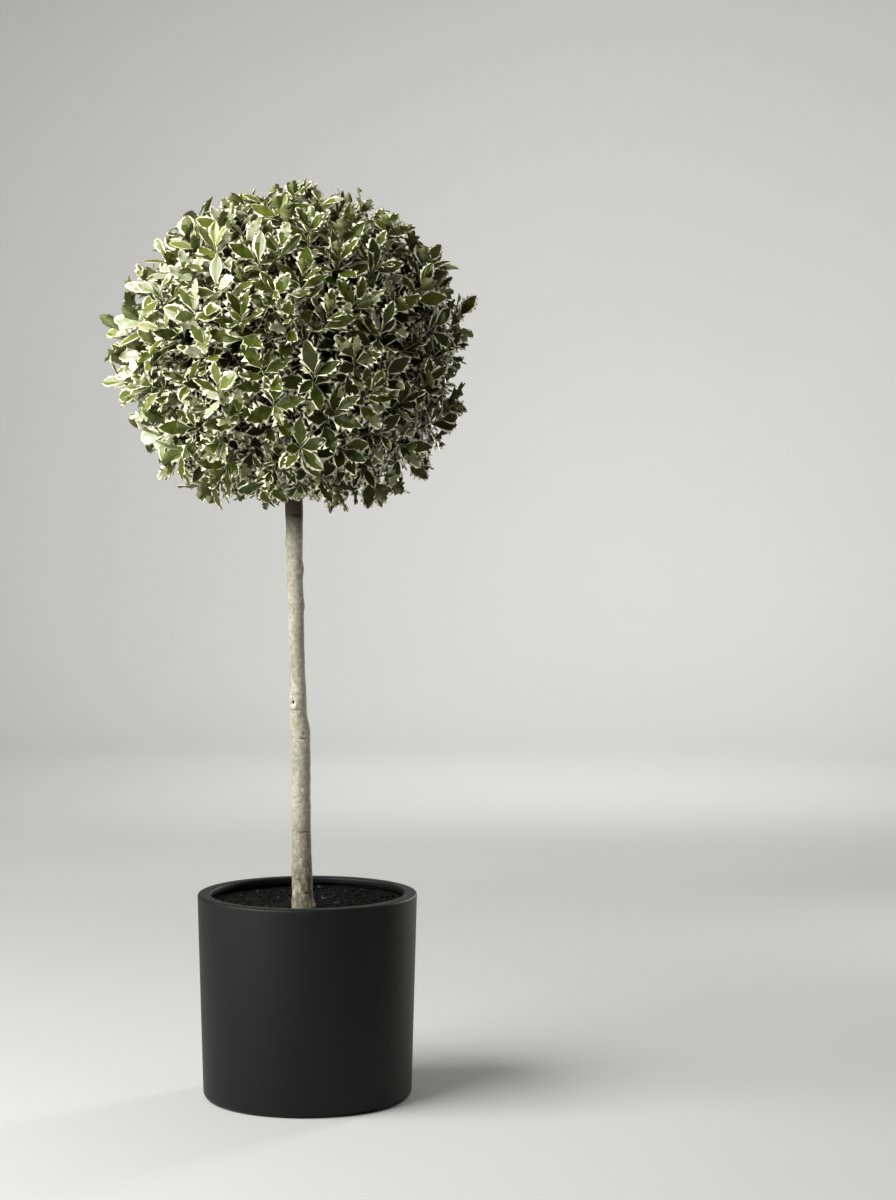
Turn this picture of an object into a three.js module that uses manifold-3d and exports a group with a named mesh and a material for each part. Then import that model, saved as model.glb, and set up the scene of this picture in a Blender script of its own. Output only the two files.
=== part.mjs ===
// Variegated holly grown as a half standard: a clear stem, a head clipped to a ball and a round
// planter.
//
// Millimetres, +Z up. The origin is the middle of the planter's flat underside. X runs to the
// right as the plant is seen from the front, and Y runs away from the front.

import Module from 'manifold-3d';
import * as THREE from 'three';
import { mergeVertices } from 'three/addons/utils/BufferGeometryUtils.js';

const wasm = await Module();
wasm.setup();

// What touches in the plant is built this far apart.
const SEAT_GAP = 0.3;

// The planter: straight tapered wall, rounded foot, flat rolled lip with an undercut inside.
const POT_HEIGHT = 400;
const POT_FOOT_RADIUS = 204;
const POT_RIM_RADIUS = 215;
const POT_FOOT_ROUNDING = 14;
const POT_FLOOR = 14;
const POT_WALL = 12;
const LIP_WIDTH = 25;
const LIP_DEPTH = 12;
const LIP_OUTER_ROUNDING = 5;
const LIP_INNER_ROUNDING = 3;
const LIP_UNDERCUT_DROP = 2;
const CORNER_STEPS = 3;
const POT_SEGMENTS = 48;

// The potting mix: high at the wall, dished towards the stem, and sagging part of the way there.
const MIX_BELOW_RIM_AT_WALL = 18;
const MIX_BELOW_RIM_AT_STEM = 33;
const MIX_LEVEL_RADIUS = 62;
const MIX_CLEARANCE = 2 * SEAT_GAP;
const MIX_SAG = 2.5;
const MIX_SAG_SHARE = 0.6;

// The stem. Its course leans to the left on the way up, with a kink above the old scar.
// Each knot is [height, place or size there], and the stem eases from one to the next.
const STEM_FOOT = POT_HEIGHT - MIX_BELOW_RIM_AT_STEM + SEAT_GAP;
const STEM_TOP = 1268;
const STEM_COURSE_X = [
  [STEM_FOOT, -9.5], [500, -11.7], [690, -12], [757, -17.5], [905, -20.5], [1085, -24.7], [STEM_TOP, -27],
];
const STEM_SWAY_Y = 3;
const STEM_SWAY_LENGTH = 620;
const STEM_DIAMETER = [
  [STEM_FOOT, 43], [425, 40.5], [540, 37], [700, 36.3], [765, 34], [840, 30.6],
  [905, 29.6], [1060, 31.5], [1175, 35.2], [1225, 38], [STEM_TOP, 32],
];
const STEM_SIDES = 12;
const STEM_RING_STEP = 28;
// A root showing at the foot, nubs where shoots were rubbed off, and the knot above the kink.
const STEM_NUBS = [
  { height: 374, bearing: -24, rise: 7, spread: 9 },
  { height: 596, bearing: -100, rise: 2.2, spread: 13 },
  { height: 723, bearing: 5, rise: 2.4, spread: 14 },
  { height: 772, bearing: -122, rise: 2.6, spread: 15 },
  { height: 915, bearing: 178, rise: 1.8, spread: 12 },
  { height: 964, bearing: 2, rise: 2, spread: 11 },
  { height: 1034, bearing: -8, rise: 2.2, spread: 12 },
  { height: 1087, bearing: 184, rise: 2.6, spread: 12 },
];

// The clipped head: a ball a little flatter on top than below, where it is also fuller.
const HEAD_CENTRE = new THREE.Vector3(-30, 0, 1480);
const HEAD_RADIUS = 354;
const HEAD_RISE = 307;
const HEAD_DROP = 322;
const TOP_FULLNESS = 2.05;
const UNDERSIDE_FULLNESS = 2.9;

// Masses of foliage: one on top, then an upper and a lower ring of five, turned half a step.
// Each keeps to the part of the head that lies nearest to its own bearing from the centre.
const RING_COUNT = 5;
const RING_POLAR_ANGLE = THREE.MathUtils.radToDeg(Math.atan(2));
const FIRST_BEARING = -90;
const SPACE_MARGIN = 1;
// The core of a mass lies between two shares of the head's reach: the bare heart, and the leaves.
const CORE_REACH = 0.76;
const CORE_DETAIL = 3;
const HEART_REACH = 0.62;
const HEART_DETAIL = 1;
// The flared way up into the heart that the cores leave open for the stem and the lower boughs.
const WAY_FOOT_RADIUS = 46;
const WAY_TOP_RADIUS = 188;
const WAY_TOP = 1385;
const WAY_SIDES = 16;

// Boughs: the leader goes on up from the stem, five leave the stem and five leave the leader.
const BOUGH_REACH = 0.56;
const LEADER_DIAMETERS = [29, 12];
const LEADER_SWAY = new THREE.Vector3(6, -5, 0);
const BOUGH_DIAMETERS = [19, 11];
const LOWER_BOUGH_START = 1178;
const LOWER_BOUGH_STEP = 12;
const UPPER_BOUGH_START = 1372;
const UPPER_BOUGH_STEP = 17;
const BOUGH_UPRIGHT = 66;
const BOUGH_BEND_SHARE = 0.3;
const BOUGH_SIDES = 8;
const BOUGH_RINGS = 5;

// Twigs fork from each mass's stem towards their tips, which lie even over the head.
const TWIG_TIPS = 80;
const TIP_SEED = 7;
const MASS_SEED = 11;
const TIP_REACH = 0.83;
const TIP_REACH_SPREAD = 0.025;
const TIP_MARGIN = 16;
const TIP_DRAW = 0.06;
const TIP_STEM_CLEARANCE = 30;
const FORK_SHARE = 0.25;
const TWIG_END_RADIUS = 6.5;
const TWIG_THICKENING = 0.25;
const TWIG_TAPER = 1.1;
const MASS_STEM_LENGTH = 28;
const FIRST_FORK_SHARE = 2 / 3;
const MASS_STEM_SIDES = 6;
const TWIG_SIDES = 3;

// Leaves, larger than life because they stand for all of the leaves on a twig.
const LEAF_LENGTH = 94;
const LEAF_WIDTH = 48;
const LEAF_THICKNESS = 4;
const LEAF_WIDEST = 0.46;
const LEAF_SINK = 5;
const LEAF_SPACING = 10;
const LEAF_TILTS = [50, 76];
const LEAF_TILT_SPREAD = 16;
const LEAF_TIP_TILT = 14;
const LEAF_TURN = 0.6;
const LEAF_JITTER = 0.3;
const GOLDEN_ANGLE = Math.PI * (3 - Math.sqrt(5));
const LEAF_TRIES = 14;
const LEAF_TILT_EASE = 0.4;
const LONGEST_LEAF = 1.03;
const LEAF_SHORTENING = 0.36;
const LEAF_LENGTH_SPREAD = 0.1;
const LEAF_REACH = 1.005;
const STRAY_REACH = 1.045;
const STRAY_SHARE = 0.12;
const STEM_CLEARANCE = 10;
const BOUGH_CLEARANCE = 19;
const BOUGH_SAMPLES = 24;
const TWIG_SAMPLES = 8;
const EDGE_SAMPLES = 3;

const UP = new THREE.Vector3(0, 0, 1);

// Small tools

function seededRandom(seed) {
  let state = seed;
  return () => {
    state = (Math.imul(state, 1664525) + 1013904223) >>> 0;
    return state / 4294967296;
  };
}

function easedBetween(knots, height) {
  const next = Math.max(1, knots.findIndex(([knotHeight]) => knotHeight >= height));
  const [lowHeight, lowValue] = knots[next - 1];
  const [highHeight, highValue] = knots[next];
  const share = THREE.MathUtils.smoothstep(height, lowHeight, highHeight);
  return lowValue + (highValue - lowValue) * share;
}

function bearingVector(bearing, polarAngle) {
  const turn = THREE.MathUtils.degToRad(bearing);
  const fall = THREE.MathUtils.degToRad(polarAngle);
  return new THREE.Vector3(Math.sin(fall) * Math.cos(turn), Math.sin(fall) * Math.sin(turn), Math.cos(fall));
}

// A closed skin over rings of points, each ring turning left as the skin goes on, flat at its ends.
function skinOver(rings) {
  const sides = rings[0].length;
  const faces = [];
  for (let ring = 0; ring + 1 < rings.length; ring += 1) {
    for (let side = 0; side < sides; side += 1) {
      const here = ring * sides + side;
      const beside = ring * sides + ((side + 1) % sides);
      faces.push(here, beside, beside + sides, here, beside + sides, here + sides);
    }
  }
  const last = (rings.length - 1) * sides;
  for (let side = 1; side + 1 < sides; side += 1) {
    faces.push(0, side + 1, side);
    faces.push(last, last + side, last + side + 1);
  }
  const geometry = new THREE.BufferGeometry().setFromPoints(rings.flat());
  geometry.setIndex(faces);
  return geometry;
}

// A round limb along a curve; radiusAt gives its radius for a share of the way.
function limb(curve, radiusAt, sides, steps) {
  const frames = curve.computeFrenetFrames(steps, false);
  const rings = [];
  for (let step = 0; step <= steps; step += 1) {
    const share = step / steps;
    const middle = curve.getPointAt(share);
    const ring = [];
    for (let side = 0; side < sides; side += 1) {
      const angle = (2 * Math.PI * side) / sides;
      const point = middle.clone();
      point.addScaledVector(frames.normals[step], radiusAt(share) * Math.cos(angle));
      point.addScaledVector(frames.binormals[step], radiusAt(share) * Math.sin(angle));
      ring.push(point);
    }
    rings.push(ring);
  }
  return skinOver(rings);
}

// Two directions square to a third, so that the three turn like X, Y and Z.
function crossDirections(along) {
  const helper = Math.abs(along.z) < 0.9 ? UP : new THREE.Vector3(1, 0, 0);
  const first = new THREE.Vector3().crossVectors(helper, along).normalize();
  return [first, new THREE.Vector3().crossVectors(along, first)];
}

function roundDirection([first, second], angle) {
  return first.clone().multiplyScalar(Math.cos(angle)).addScaledVector(second, Math.sin(angle));
}

// A straight tapered rod with flat sides
function rod(start, end, startRadius, endRadius, sides) {
  const across = crossDirections(end.clone().sub(start).normalize());
  const rings = [[start, startRadius], [end, endRadius]].map(([middle, radius]) => (
    Array.from({ length: sides }, (unused, side) => (
      middle.clone().addScaledVector(roundDirection(across, (2 * Math.PI * side) / sides), radius)))));
  return skinOver(rings);
}

// Joining and cutting

function toSolid(geometry) {
  const bare = geometry.clone();
  bare.deleteAttribute('normal');
  bare.deleteAttribute('uv');
  const merged = mergeVertices(bare);
  return new wasm.Manifold(new wasm.Mesh({
    numProp: 3,
    vertProperties: new Float32Array(merged.attributes.position.array),
    triVerts: new Uint32Array(merged.index.array),
  }));
}

function toGeometry(solid) {
  const mesh = solid.getMesh();
  const geometry = new THREE.BufferGeometry();
  geometry.setAttribute('position', new THREE.BufferAttribute(new Float32Array(mesh.vertProperties), 3));
  geometry.setIndex(new THREE.BufferAttribute(new Uint32Array(mesh.triVerts), 1));
  return geometry;
}

// The largest body alone: loose scraps go, and a hollow sealed inside is filled.
function wholeBody(solid) {
  const bodies = solid.decompose();
  return bodies.reduce((largest, body) => (body.volume() > largest.volume() ? body : largest));
}

// The planter and its mix

function roundedCorner(centreRadius, centreHeight, rounding, fromDegrees, toDegrees) {
  const points = [];
  for (let step = 0; step <= CORNER_STEPS; step += 1) {
    const degrees = THREE.MathUtils.lerp(fromDegrees, toDegrees, step / CORNER_STEPS);
    const angle = THREE.MathUtils.degToRad(degrees);
    points.push(new THREE.Vector2(
      centreRadius + rounding * Math.cos(angle),
      centreHeight + rounding * Math.sin(angle),
    ));
  }
  return points;
}

// A lathe turns about Y; the plant stands along Z.
function turned(profile) {
  return new THREE.LatheGeometry(profile, POT_SEGMENTS).rotateX(Math.PI / 2);
}

const lipInnerRadius = POT_RIM_RADIUS - LIP_WIDTH;
const innerRimRadius = POT_RIM_RADIUS - POT_WALL;
const innerFloorRadius = POT_FOOT_RADIUS - POT_WALL;

function makePot() {
  const profile = [
    new THREE.Vector2(0, 0),
    ...roundedCorner(POT_FOOT_RADIUS - POT_FOOT_ROUNDING, POT_FOOT_ROUNDING, POT_FOOT_ROUNDING, -90, 0),
    ...roundedCorner(POT_RIM_RADIUS - LIP_OUTER_ROUNDING, POT_HEIGHT - LIP_OUTER_ROUNDING,
      LIP_OUTER_ROUNDING, 0, 90),
    ...roundedCorner(lipInnerRadius + LIP_INNER_ROUNDING, POT_HEIGHT - LIP_INNER_ROUNDING,
      LIP_INNER_ROUNDING, 90, 180),
    new THREE.Vector2(lipInnerRadius, POT_HEIGHT - LIP_DEPTH),
    new THREE.Vector2(innerRimRadius, POT_HEIGHT - LIP_DEPTH - LIP_UNDERCUT_DROP),
    new THREE.Vector2(innerFloorRadius, POT_FLOOR),
    new THREE.Vector2(0, POT_FLOOR),
  ];
  return turned(profile);
}

function makePottingMix() {
  const wallHeight = POT_HEIGHT - MIX_BELOW_RIM_AT_WALL;
  const levelHeight = POT_HEIGHT - MIX_BELOW_RIM_AT_STEM;
  const floorHeight = POT_FLOOR + SEAT_GAP;
  const wallRadius = innerRimRadius - MIX_CLEARANCE;
  const profile = [
    new THREE.Vector2(0, floorHeight),
    new THREE.Vector2(innerFloorRadius - MIX_CLEARANCE, floorHeight),
    new THREE.Vector2(wallRadius, wallHeight),
    new THREE.Vector2(
      THREE.MathUtils.lerp(MIX_LEVEL_RADIUS, wallRadius, MIX_SAG_SHARE),
      THREE.MathUtils.lerp(levelHeight, wallHeight, MIX_SAG_SHARE) - MIX_SAG,
    ),
    new THREE.Vector2(MIX_LEVEL_RADIUS, levelHeight),
    new THREE.Vector2(0, levelHeight),
  ];
  return turned(profile);
}

// The stem

function stemCentre(height) {
  const sway = STEM_SWAY_Y * Math.sin((2 * Math.PI * (height - STEM_FOOT)) / STEM_SWAY_LENGTH);
  return new THREE.Vector3(easedBetween(STEM_COURSE_X, height), sway, height);
}

function stemRadius(height, bearing) {
  let radius = easedBetween(STEM_DIAMETER, height) / 2;
  for (const nub of STEM_NUBS) {
    const along = height - nub.height;
    const round = radius * 2 * Math.sin((bearing - THREE.MathUtils.degToRad(nub.bearing)) / 2);
    radius += nub.rise * Math.exp(-(along * along + round * round) / (nub.spread * nub.spread));
  }
  return radius;
}

function makeStem(swell) {
  const steps = Math.round((STEM_TOP - STEM_FOOT) / STEM_RING_STEP);
  const rings = [];
  for (let step = 0; step <= steps; step += 1) {
    const height = THREE.MathUtils.lerp(STEM_FOOT, STEM_TOP + swell, step / steps);
    const middle = stemCentre(Math.min(height, STEM_TOP));
    const ring = [];
    for (let side = 0; side < STEM_SIDES; side += 1) {
      const bearing = (2 * Math.PI * side) / STEM_SIDES;
      const radius = stemRadius(Math.min(height, STEM_TOP), bearing) + swell;
      ring.push(new THREE.Vector3(
        middle.x + radius * Math.cos(bearing),
        middle.y + radius * Math.sin(bearing),
        height,
      ));
    }
    rings.push(ring);
  }
  return skinOver(rings);
}

// The head's clipped surface

function headReach(direction) {
  const fullness = direction.z > 0 ? TOP_FULLNESS : UNDERSIDE_FULLNESS;
  const halfHeight = direction.z > 0 ? HEAD_RISE : HEAD_DROP;
  const across = Math.hypot(direction.x, direction.y) / HEAD_RADIUS;
  const along = Math.abs(direction.z) / halfHeight;
  return (across ** fullness + along ** fullness) ** (-1 / fullness);
}

function headPoint(direction, share) {
  return HEAD_CENTRE.clone().addScaledVector(direction, headReach(direction) * share);
}

// 1 on the clipped surface, less inside it
function shareOfReach(point) {
  const offset = point.clone().sub(HEAD_CENTRE);
  const distance = offset.length();
  return distance / headReach(offset.divideScalar(distance));
}

function headSolid(share, detail) {
  const ball = new THREE.IcosahedronGeometry(1, detail);
  const position = ball.attributes.position;
  for (let vertex = 0; vertex < position.count; vertex += 1) {
    const direction = new THREE.Vector3().fromBufferAttribute(position, vertex).normalize();
    const point = headPoint(direction, share);
    position.setXYZ(vertex, point.x, point.y, point.z);
  }
  return toSolid(ball);
}

// The masses and their spaces

const masses = [{ name: 'top', tier: 'top', bearing: FIRST_BEARING, direction: UP.clone() }];
for (let place = 0; place < RING_COUNT; place += 1) {
  const bearing = FIRST_BEARING + (360 * place) / RING_COUNT;
  masses.push({
    name: `upper_${place + 1}`,
    tier: 'upper',
    place,
    bearing,
    direction: bearingVector(bearing, RING_POLAR_ANGLE),
  });
}
for (let place = 0; place < RING_COUNT; place += 1) {
  const bearing = FIRST_BEARING + (360 * (place + 0.5)) / RING_COUNT;
  masses.push({
    name: `lower_${place + 1}`,
    tier: 'lower',
    place,
    bearing,
    direction: bearingVector(bearing, 180 - RING_POLAR_ANGLE),
  });
}

// A space is bounded by the planes half way to the other masses' bearings.
for (const mass of masses) {
  mass.walls = masses.filter((other) => other !== mass).map((other) => (
    mass.direction.clone().sub(other.direction).normalize()));
}

function insideSpace(mass, point, margin) {
  const offset = point.clone().sub(HEAD_CENTRE);
  return mass.walls.every((wall) => wall.dot(offset) >= margin);
}

function spaceWall(wall) {
  const size = 4 * HEAD_RADIUS;
  const block = new THREE.BoxGeometry(size, size, size).translate(0, 0, size / 2 + SPACE_MARGIN);
  block.applyQuaternion(new THREE.Quaternion().setFromUnitVectors(UP, wall));
  block.translate(HEAD_CENTRE.x, HEAD_CENTRE.y, HEAD_CENTRE.z);
  return toSolid(block);
}

// Boughs

function taper([first, last]) {
  return (share) => (first + (last - first) * share) / 2;
}

const leaderRadius = taper(LEADER_DIAMETERS);
const boughRadius = taper(BOUGH_DIAMETERS);

function makeLeaderCurve() {
  const tip = headPoint(UP, BOUGH_REACH);
  const foot = stemCentre(STEM_TOP).setZ(STEM_TOP + SEAT_GAP);
  const upright = foot.clone().addScaledVector(UP, leaderRadius(0));
  const middle = foot.clone().lerp(tip, 0.5).add(LEADER_SWAY);
  return new THREE.CatmullRomCurve3([foot, upright, middle, tip]);
}

const leaderCurve = makeLeaderCurve();

function leaderCentre(height) {
  const [foot, tip] = [leaderCurve.getPointAt(0), leaderCurve.getPointAt(1)];
  return leaderCurve.getPointAt((height - foot.z) / (tip.z - foot.z));
}

// A side bough sets off upright and bends outwards; every second place on the ring starts higher.
function makeBoughCurve(mass) {
  const tip = headPoint(mass.direction, BOUGH_REACH);
  const step = (2 * mass.place) % RING_COUNT;
  const foot = mass.tier === 'lower'
    ? stemCentre(LOWER_BOUGH_START + LOWER_BOUGH_STEP * step)
    : leaderCentre(UPPER_BOUGH_START + UPPER_BOUGH_STEP * step);
  const outward = bearingVector(mass.bearing, 90);
  const bend = foot.clone().addScaledVector(UP, BOUGH_UPRIGHT);
  bend.addScaledVector(outward, BOUGH_BEND_SHARE * tip.clone().sub(foot).dot(outward));
  return new THREE.QuadraticBezierCurve3(foot, bend, tip);
}

for (const mass of masses) {
  mass.curve = mass.tier === 'top' ? leaderCurve : makeBoughCurve(mass);
}
const boughSamples = masses.flatMap((mass) => mass.curve.getSpacedPoints(BOUGH_SAMPLES));

const stemWithGap = toSolid(makeStem(SEAT_GAP));
const leaderWithGap = toSolid(
  limb(leaderCurve, (share) => leaderRadius(share) + SEAT_GAP, BOUGH_SIDES, BOUGH_RINGS),
);

// A bough is cut to the side of the limb that carries it.
function makeBough(mass) {
  if (mass.tier === 'top') {
    return limb(mass.curve, leaderRadius, BOUGH_SIDES, BOUGH_RINGS);
  }
  const carrier = mass.tier === 'lower' ? stemWithGap : leaderWithGap;
  const whole = toSolid(limb(mass.curve, boughRadius, BOUGH_SIDES, BOUGH_RINGS));
  return toGeometry(wholeBody(whole.subtract(carrier)));
}

// Foliage

const wayFoot = HEAD_CENTRE.z - HEAD_DROP;
const openWay = toSolid(
  new THREE.CylinderGeometry(WAY_TOP_RADIUS, WAY_FOOT_RADIUS, WAY_TOP - wayFoot, WAY_SIDES)
    .rotateX(Math.PI / 2)
    .translate(HEAD_CENTRE.x, HEAD_CENTRE.y, (WAY_TOP + wayFoot) / 2),
);
const shell = headSolid(CORE_REACH, CORE_DETAIL)
  .subtract(headSolid(HEART_REACH, HEART_DETAIL))
  .subtract(openWay);

function makeCore(mass) {
  return mass.walls.reduce((core, wall) => core.intersect(spaceWall(wall)), shell);
}

// A tip close to a wall of its space is drawn towards the middle of the space.
function drawnInside(mass, tip) {
  const point = tip.clone();
  const middle = headPoint(mass.direction, shareOfReach(tip));
  while (!insideSpace(mass, point, TIP_MARGIN)) {
    point.lerp(middle, TIP_DRAW);
  }
  return point;
}

// Tips lie on a spiral that covers the head evenly, and each belongs to the nearest mass.
function placeTips() {
  const random = seededRandom(TIP_SEED);
  for (const mass of masses) {
    mass.tips = [];
  }
  for (let index = 0; index < TWIG_TIPS; index += 1) {
    const height = 1 - (2 * index + 1) / TWIG_TIPS;
    const across = Math.sqrt(1 - height * height);
    const turn = GOLDEN_ANGLE * index;
    const direction = new THREE.Vector3(across * Math.cos(turn), across * Math.sin(turn), height);
    const nearest = masses.reduce((best, mass) => (
      mass.direction.dot(direction) > best.direction.dot(direction) ? mass : best));
    const tip = headPoint(direction, TIP_REACH + TIP_REACH_SPREAD * (2 * random() - 1));
    if (clearOfStem(tip, TIP_STEM_CLEARANCE)) {
      nearest.tips.push(drawnInside(nearest, tip));
    }
  }
}

function clearOfStem(point, clearance) {
  const height = THREE.MathUtils.clamp(point.z, STEM_FOOT, STEM_TOP);
  const middle = stemCentre(height);
  return Math.hypot(point.x - middle.x, point.y - middle.y) > stemRadius(height, 0) + clearance;
}

function clearOfBoughs(point, clearance) {
  return boughSamples.every((sample) => sample.distanceTo(point) > clearance);
}

function fits(mass, points, reach) {
  return points.every((point) => (
    insideSpace(mass, point, SPACE_MARGIN)
    && shareOfReach(point) <= reach
    && clearOfStem(point, STEM_CLEARANCE)
    && clearOfBoughs(point, BOUGH_CLEARANCE)));
}

// Points along an edge or a twig, its two ends among them.
function alongLine(start, end, count) {
  return Array.from({ length: count + 1 }, (unused, step) => start.clone().lerp(end, step / count));
}

function leafPoints(root, along, face, length) {
  const side = new THREE.Vector3().crossVectors(face, along);
  const widest = root.clone().addScaledVector(along, length * LEAF_WIDEST);
  const scale = length / LEAF_LENGTH;
  return [
    root.clone().addScaledVector(along, -LEAF_SINK),
    root.clone().addScaledVector(along, length),
    widest.clone().addScaledVector(side, (scale * LEAF_WIDTH) / 2),
    widest.clone().addScaledVector(side, (-scale * LEAF_WIDTH) / 2),
    widest.clone().addScaledVector(face, LEAF_THICKNESS / 2),
    widest.clone().addScaledVector(face, -LEAF_THICKNESS / 2),
  ];
}

function leafSolid(points) {
  const [foot, tip, left, right, upper, under] = [0, 1, 2, 3, 4, 5];
  const geometry = new THREE.BufferGeometry().setFromPoints(points);
  geometry.setIndex([
    foot, right, upper, right, tip, upper, tip, left, upper, left, foot, upper,
    right, foot, under, tip, right, under, left, tip, under, foot, left, under,
  ]);
  return toSolid(geometry);
}

// One leaf, its foot sunk in a twig. Other turns and tilts are tried where the first doesn't fit,
// and it is left out where none does.
function growLeaf(mass, seat, twigAlong, outward, tilt, reach, random) {
  for (let attempt = 0; attempt < LEAF_TRIES; attempt += 1) {
    const change = attempt / LEAF_TRIES;
    const turn = (attempt % 2 ? -1 : 1) * change * LEAF_TURN + LEAF_JITTER * (random() - 0.5);
    const lean = THREE.MathUtils.degToRad(tilt * (1 - LEAF_TILT_EASE * change * random()));
    const bearing = outward.clone().applyAxisAngle(twigAlong, turn);
    const along = twigAlong.clone().multiplyScalar(Math.cos(lean)).addScaledVector(bearing, Math.sin(lean));
    const face = twigAlong.clone().multiplyScalar(Math.sin(lean)).addScaledVector(bearing, -Math.cos(lean));
    const shortening = LEAF_SHORTENING * change + LEAF_LENGTH_SPREAD * random();
    const length = LEAF_LENGTH * (LONGEST_LEAF - shortening);
    const points = leafPoints(seat, along, face, length);
    const [foot, tip, left, right] = points;
    const edges = [[foot, left], [left, tip], [foot, right], [right, tip]];
    const edgePoints = edges.flatMap(([from, to]) => alongLine(from, to, EDGE_SAMPLES));
    if (fits(mass, [...points, ...edgePoints], reach)) {
      const leaf = leafSolid(points);
      if (mass.leaves.every((other) => leaf.intersect(other).isEmpty())) {
        mass.leaves.push(leaf);
        return;
      }
    }
  }
}

// The leaves round the end of a twig: two leave each flat side, one to each hand, and one the tip.
function growLeaves(mass, start, tip, random) {
  const along = tip.clone().sub(start).normalize();
  const across = crossDirections(along);
  const reach = random() < STRAY_SHARE ? STRAY_REACH : LEAF_REACH;
  growLeaf(mass, tip, along, across[0], LEAF_TIP_TILT, reach, random);
  for (let side = 0; side < TWIG_SIDES; side += 1) {
    const sideAngle = (2 * Math.PI * (side + 0.5)) / TWIG_SIDES;
    const depth = TWIG_END_RADIUS * Math.cos(Math.PI / TWIG_SIDES);
    for (const [place, hand] of [-1, 1].entries()) {
      const level = LEAF_SPACING * (place + side / TWIG_SIDES);
      const seat = tip.clone().addScaledVector(along, -LEAF_SPACING / 2 - level);
      seat.addScaledVector(roundDirection(across, sideAngle), depth);
      const outward = roundDirection(across, sideAngle + (hand * Math.PI) / (2 * TWIG_SIDES));
      const tilt = LEAF_TILTS[place] + LEAF_TILT_SPREAD * (random() - 0.5);
      growLeaf(mass, seat, along, outward, tilt, reach, random);
    }
  }
}

function growTwig(mass, start, tip, parts, random) {
  if (!fits(mass, alongLine(start, tip, TWIG_SAMPLES).slice(2), 1)) {
    return;
  }
  parts.push(toSolid(rod(start, tip, TWIG_TAPER * TWIG_END_RADIUS, TWIG_END_RADIUS, TWIG_SIDES)));
  growLeaves(mass, start, tip, random);
}

// A shoot heads for the middle of the tips that it feeds, and forks into two halves of them.
function growShoot(mass, start, tips, parts, random) {
  if (tips.length === 1) {
    growTwig(mass, start, tips[0], parts, random);
    return;
  }
  const middle = tips.reduce((sum, tip) => sum.add(tip), new THREE.Vector3()).divideScalar(tips.length);
  const fork = start.clone().lerp(middle, FORK_SHARE);
  const radius = TWIG_END_RADIUS * tips.length ** TWIG_THICKENING;
  parts.push(toSolid(rod(start, fork, TWIG_TAPER * radius, radius, TWIG_SIDES)));

  const spread = new THREE.Box3().setFromPoints(tips).getSize(new THREE.Vector3());
  const widest = ['x', 'y', 'z'].reduce((best, axis) => (spread[axis] > spread[best] ? axis : best));
  const sorted = [...tips].sort((one, other) => one[widest] - other[widest]);
  const half = Math.ceil(sorted.length / 2);
  growShoot(mass, fork, sorted.slice(0, half), parts, random);
  growShoot(mass, fork, sorted.slice(half), parts, random);
}

// The stem of a mass carries on from its bough's tip, and the shoots set off from inside it.
function makeFoliage(mass, seed) {
  const along = mass.curve.getTangentAt(1);
  const start = mass.curve.getPointAt(1).addScaledVector(along, SEAT_GAP);
  const end = start.clone().addScaledVector(along, MASS_STEM_LENGTH);
  const radius = mass.tier === 'top' ? leaderRadius(1) : boughRadius(1);
  const firstFork = start.clone().lerp(end, FIRST_FORK_SHARE);
  const parts = [makeCore(mass), toSolid(rod(start, end, radius, radius, MASS_STEM_SIDES))];
  mass.leaves = [];
  growShoot(mass, firstFork, mass.tips, parts, seededRandom(seed));
  return toGeometry(wholeBody(wasm.Manifold.union([...parts, ...mass.leaves])));
}

// Colours

const potBlack = { color: 0x1f1f20, roughness: 0.62, metalness: 0 };
const mixBrown = { color: 0x17130f, roughness: 0.95, metalness: 0 };
const barkGrey = { color: 0x8f8874, roughness: 0.85, metalness: 0 };
const boughBrown = { color: 0x6f6552, roughness: 0.85, metalness: 0 };
const leafGreen = { color: 0x6f8a45, roughness: 0.4, metalness: 0 };

function addPiece(group, name, geometry, finish) {
  geometry.computeVertexNormals();
  const piece = new THREE.Mesh(geometry, new THREE.MeshStandardMaterial(finish));
  piece.name = name;
  group.add(piece);
}

const group = new THREE.Group();
addPiece(group, 'pot', makePot(), potBlack);
addPiece(group, 'potting_mix', makePottingMix(), mixBrown);
addPiece(group, 'stem', makeStem(0), barkGrey);

placeTips();
masses.forEach((mass, index) => {
  addPiece(group, mass.tier === 'top' ? 'leader' : `bough_${mass.name}`, makeBough(mass), boughBrown);
  addPiece(group, `foliage_${mass.name}`, makeFoliage(mass, MASS_SEED + index), leafGreen);
});

export default group;
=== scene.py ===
"""A variegated holly grown as a half standard, dressed round the part's own frame.

Metres, +Z up. The planter stands on the floor at the origin, and the front looks along +Y.
"""

import math
import random

import bmesh
import bpy
import numpy as np
from bpy.props import FloatProperty, FloatVectorProperty, IntProperty, PointerProperty
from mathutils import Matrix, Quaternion, Vector, noise


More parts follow.
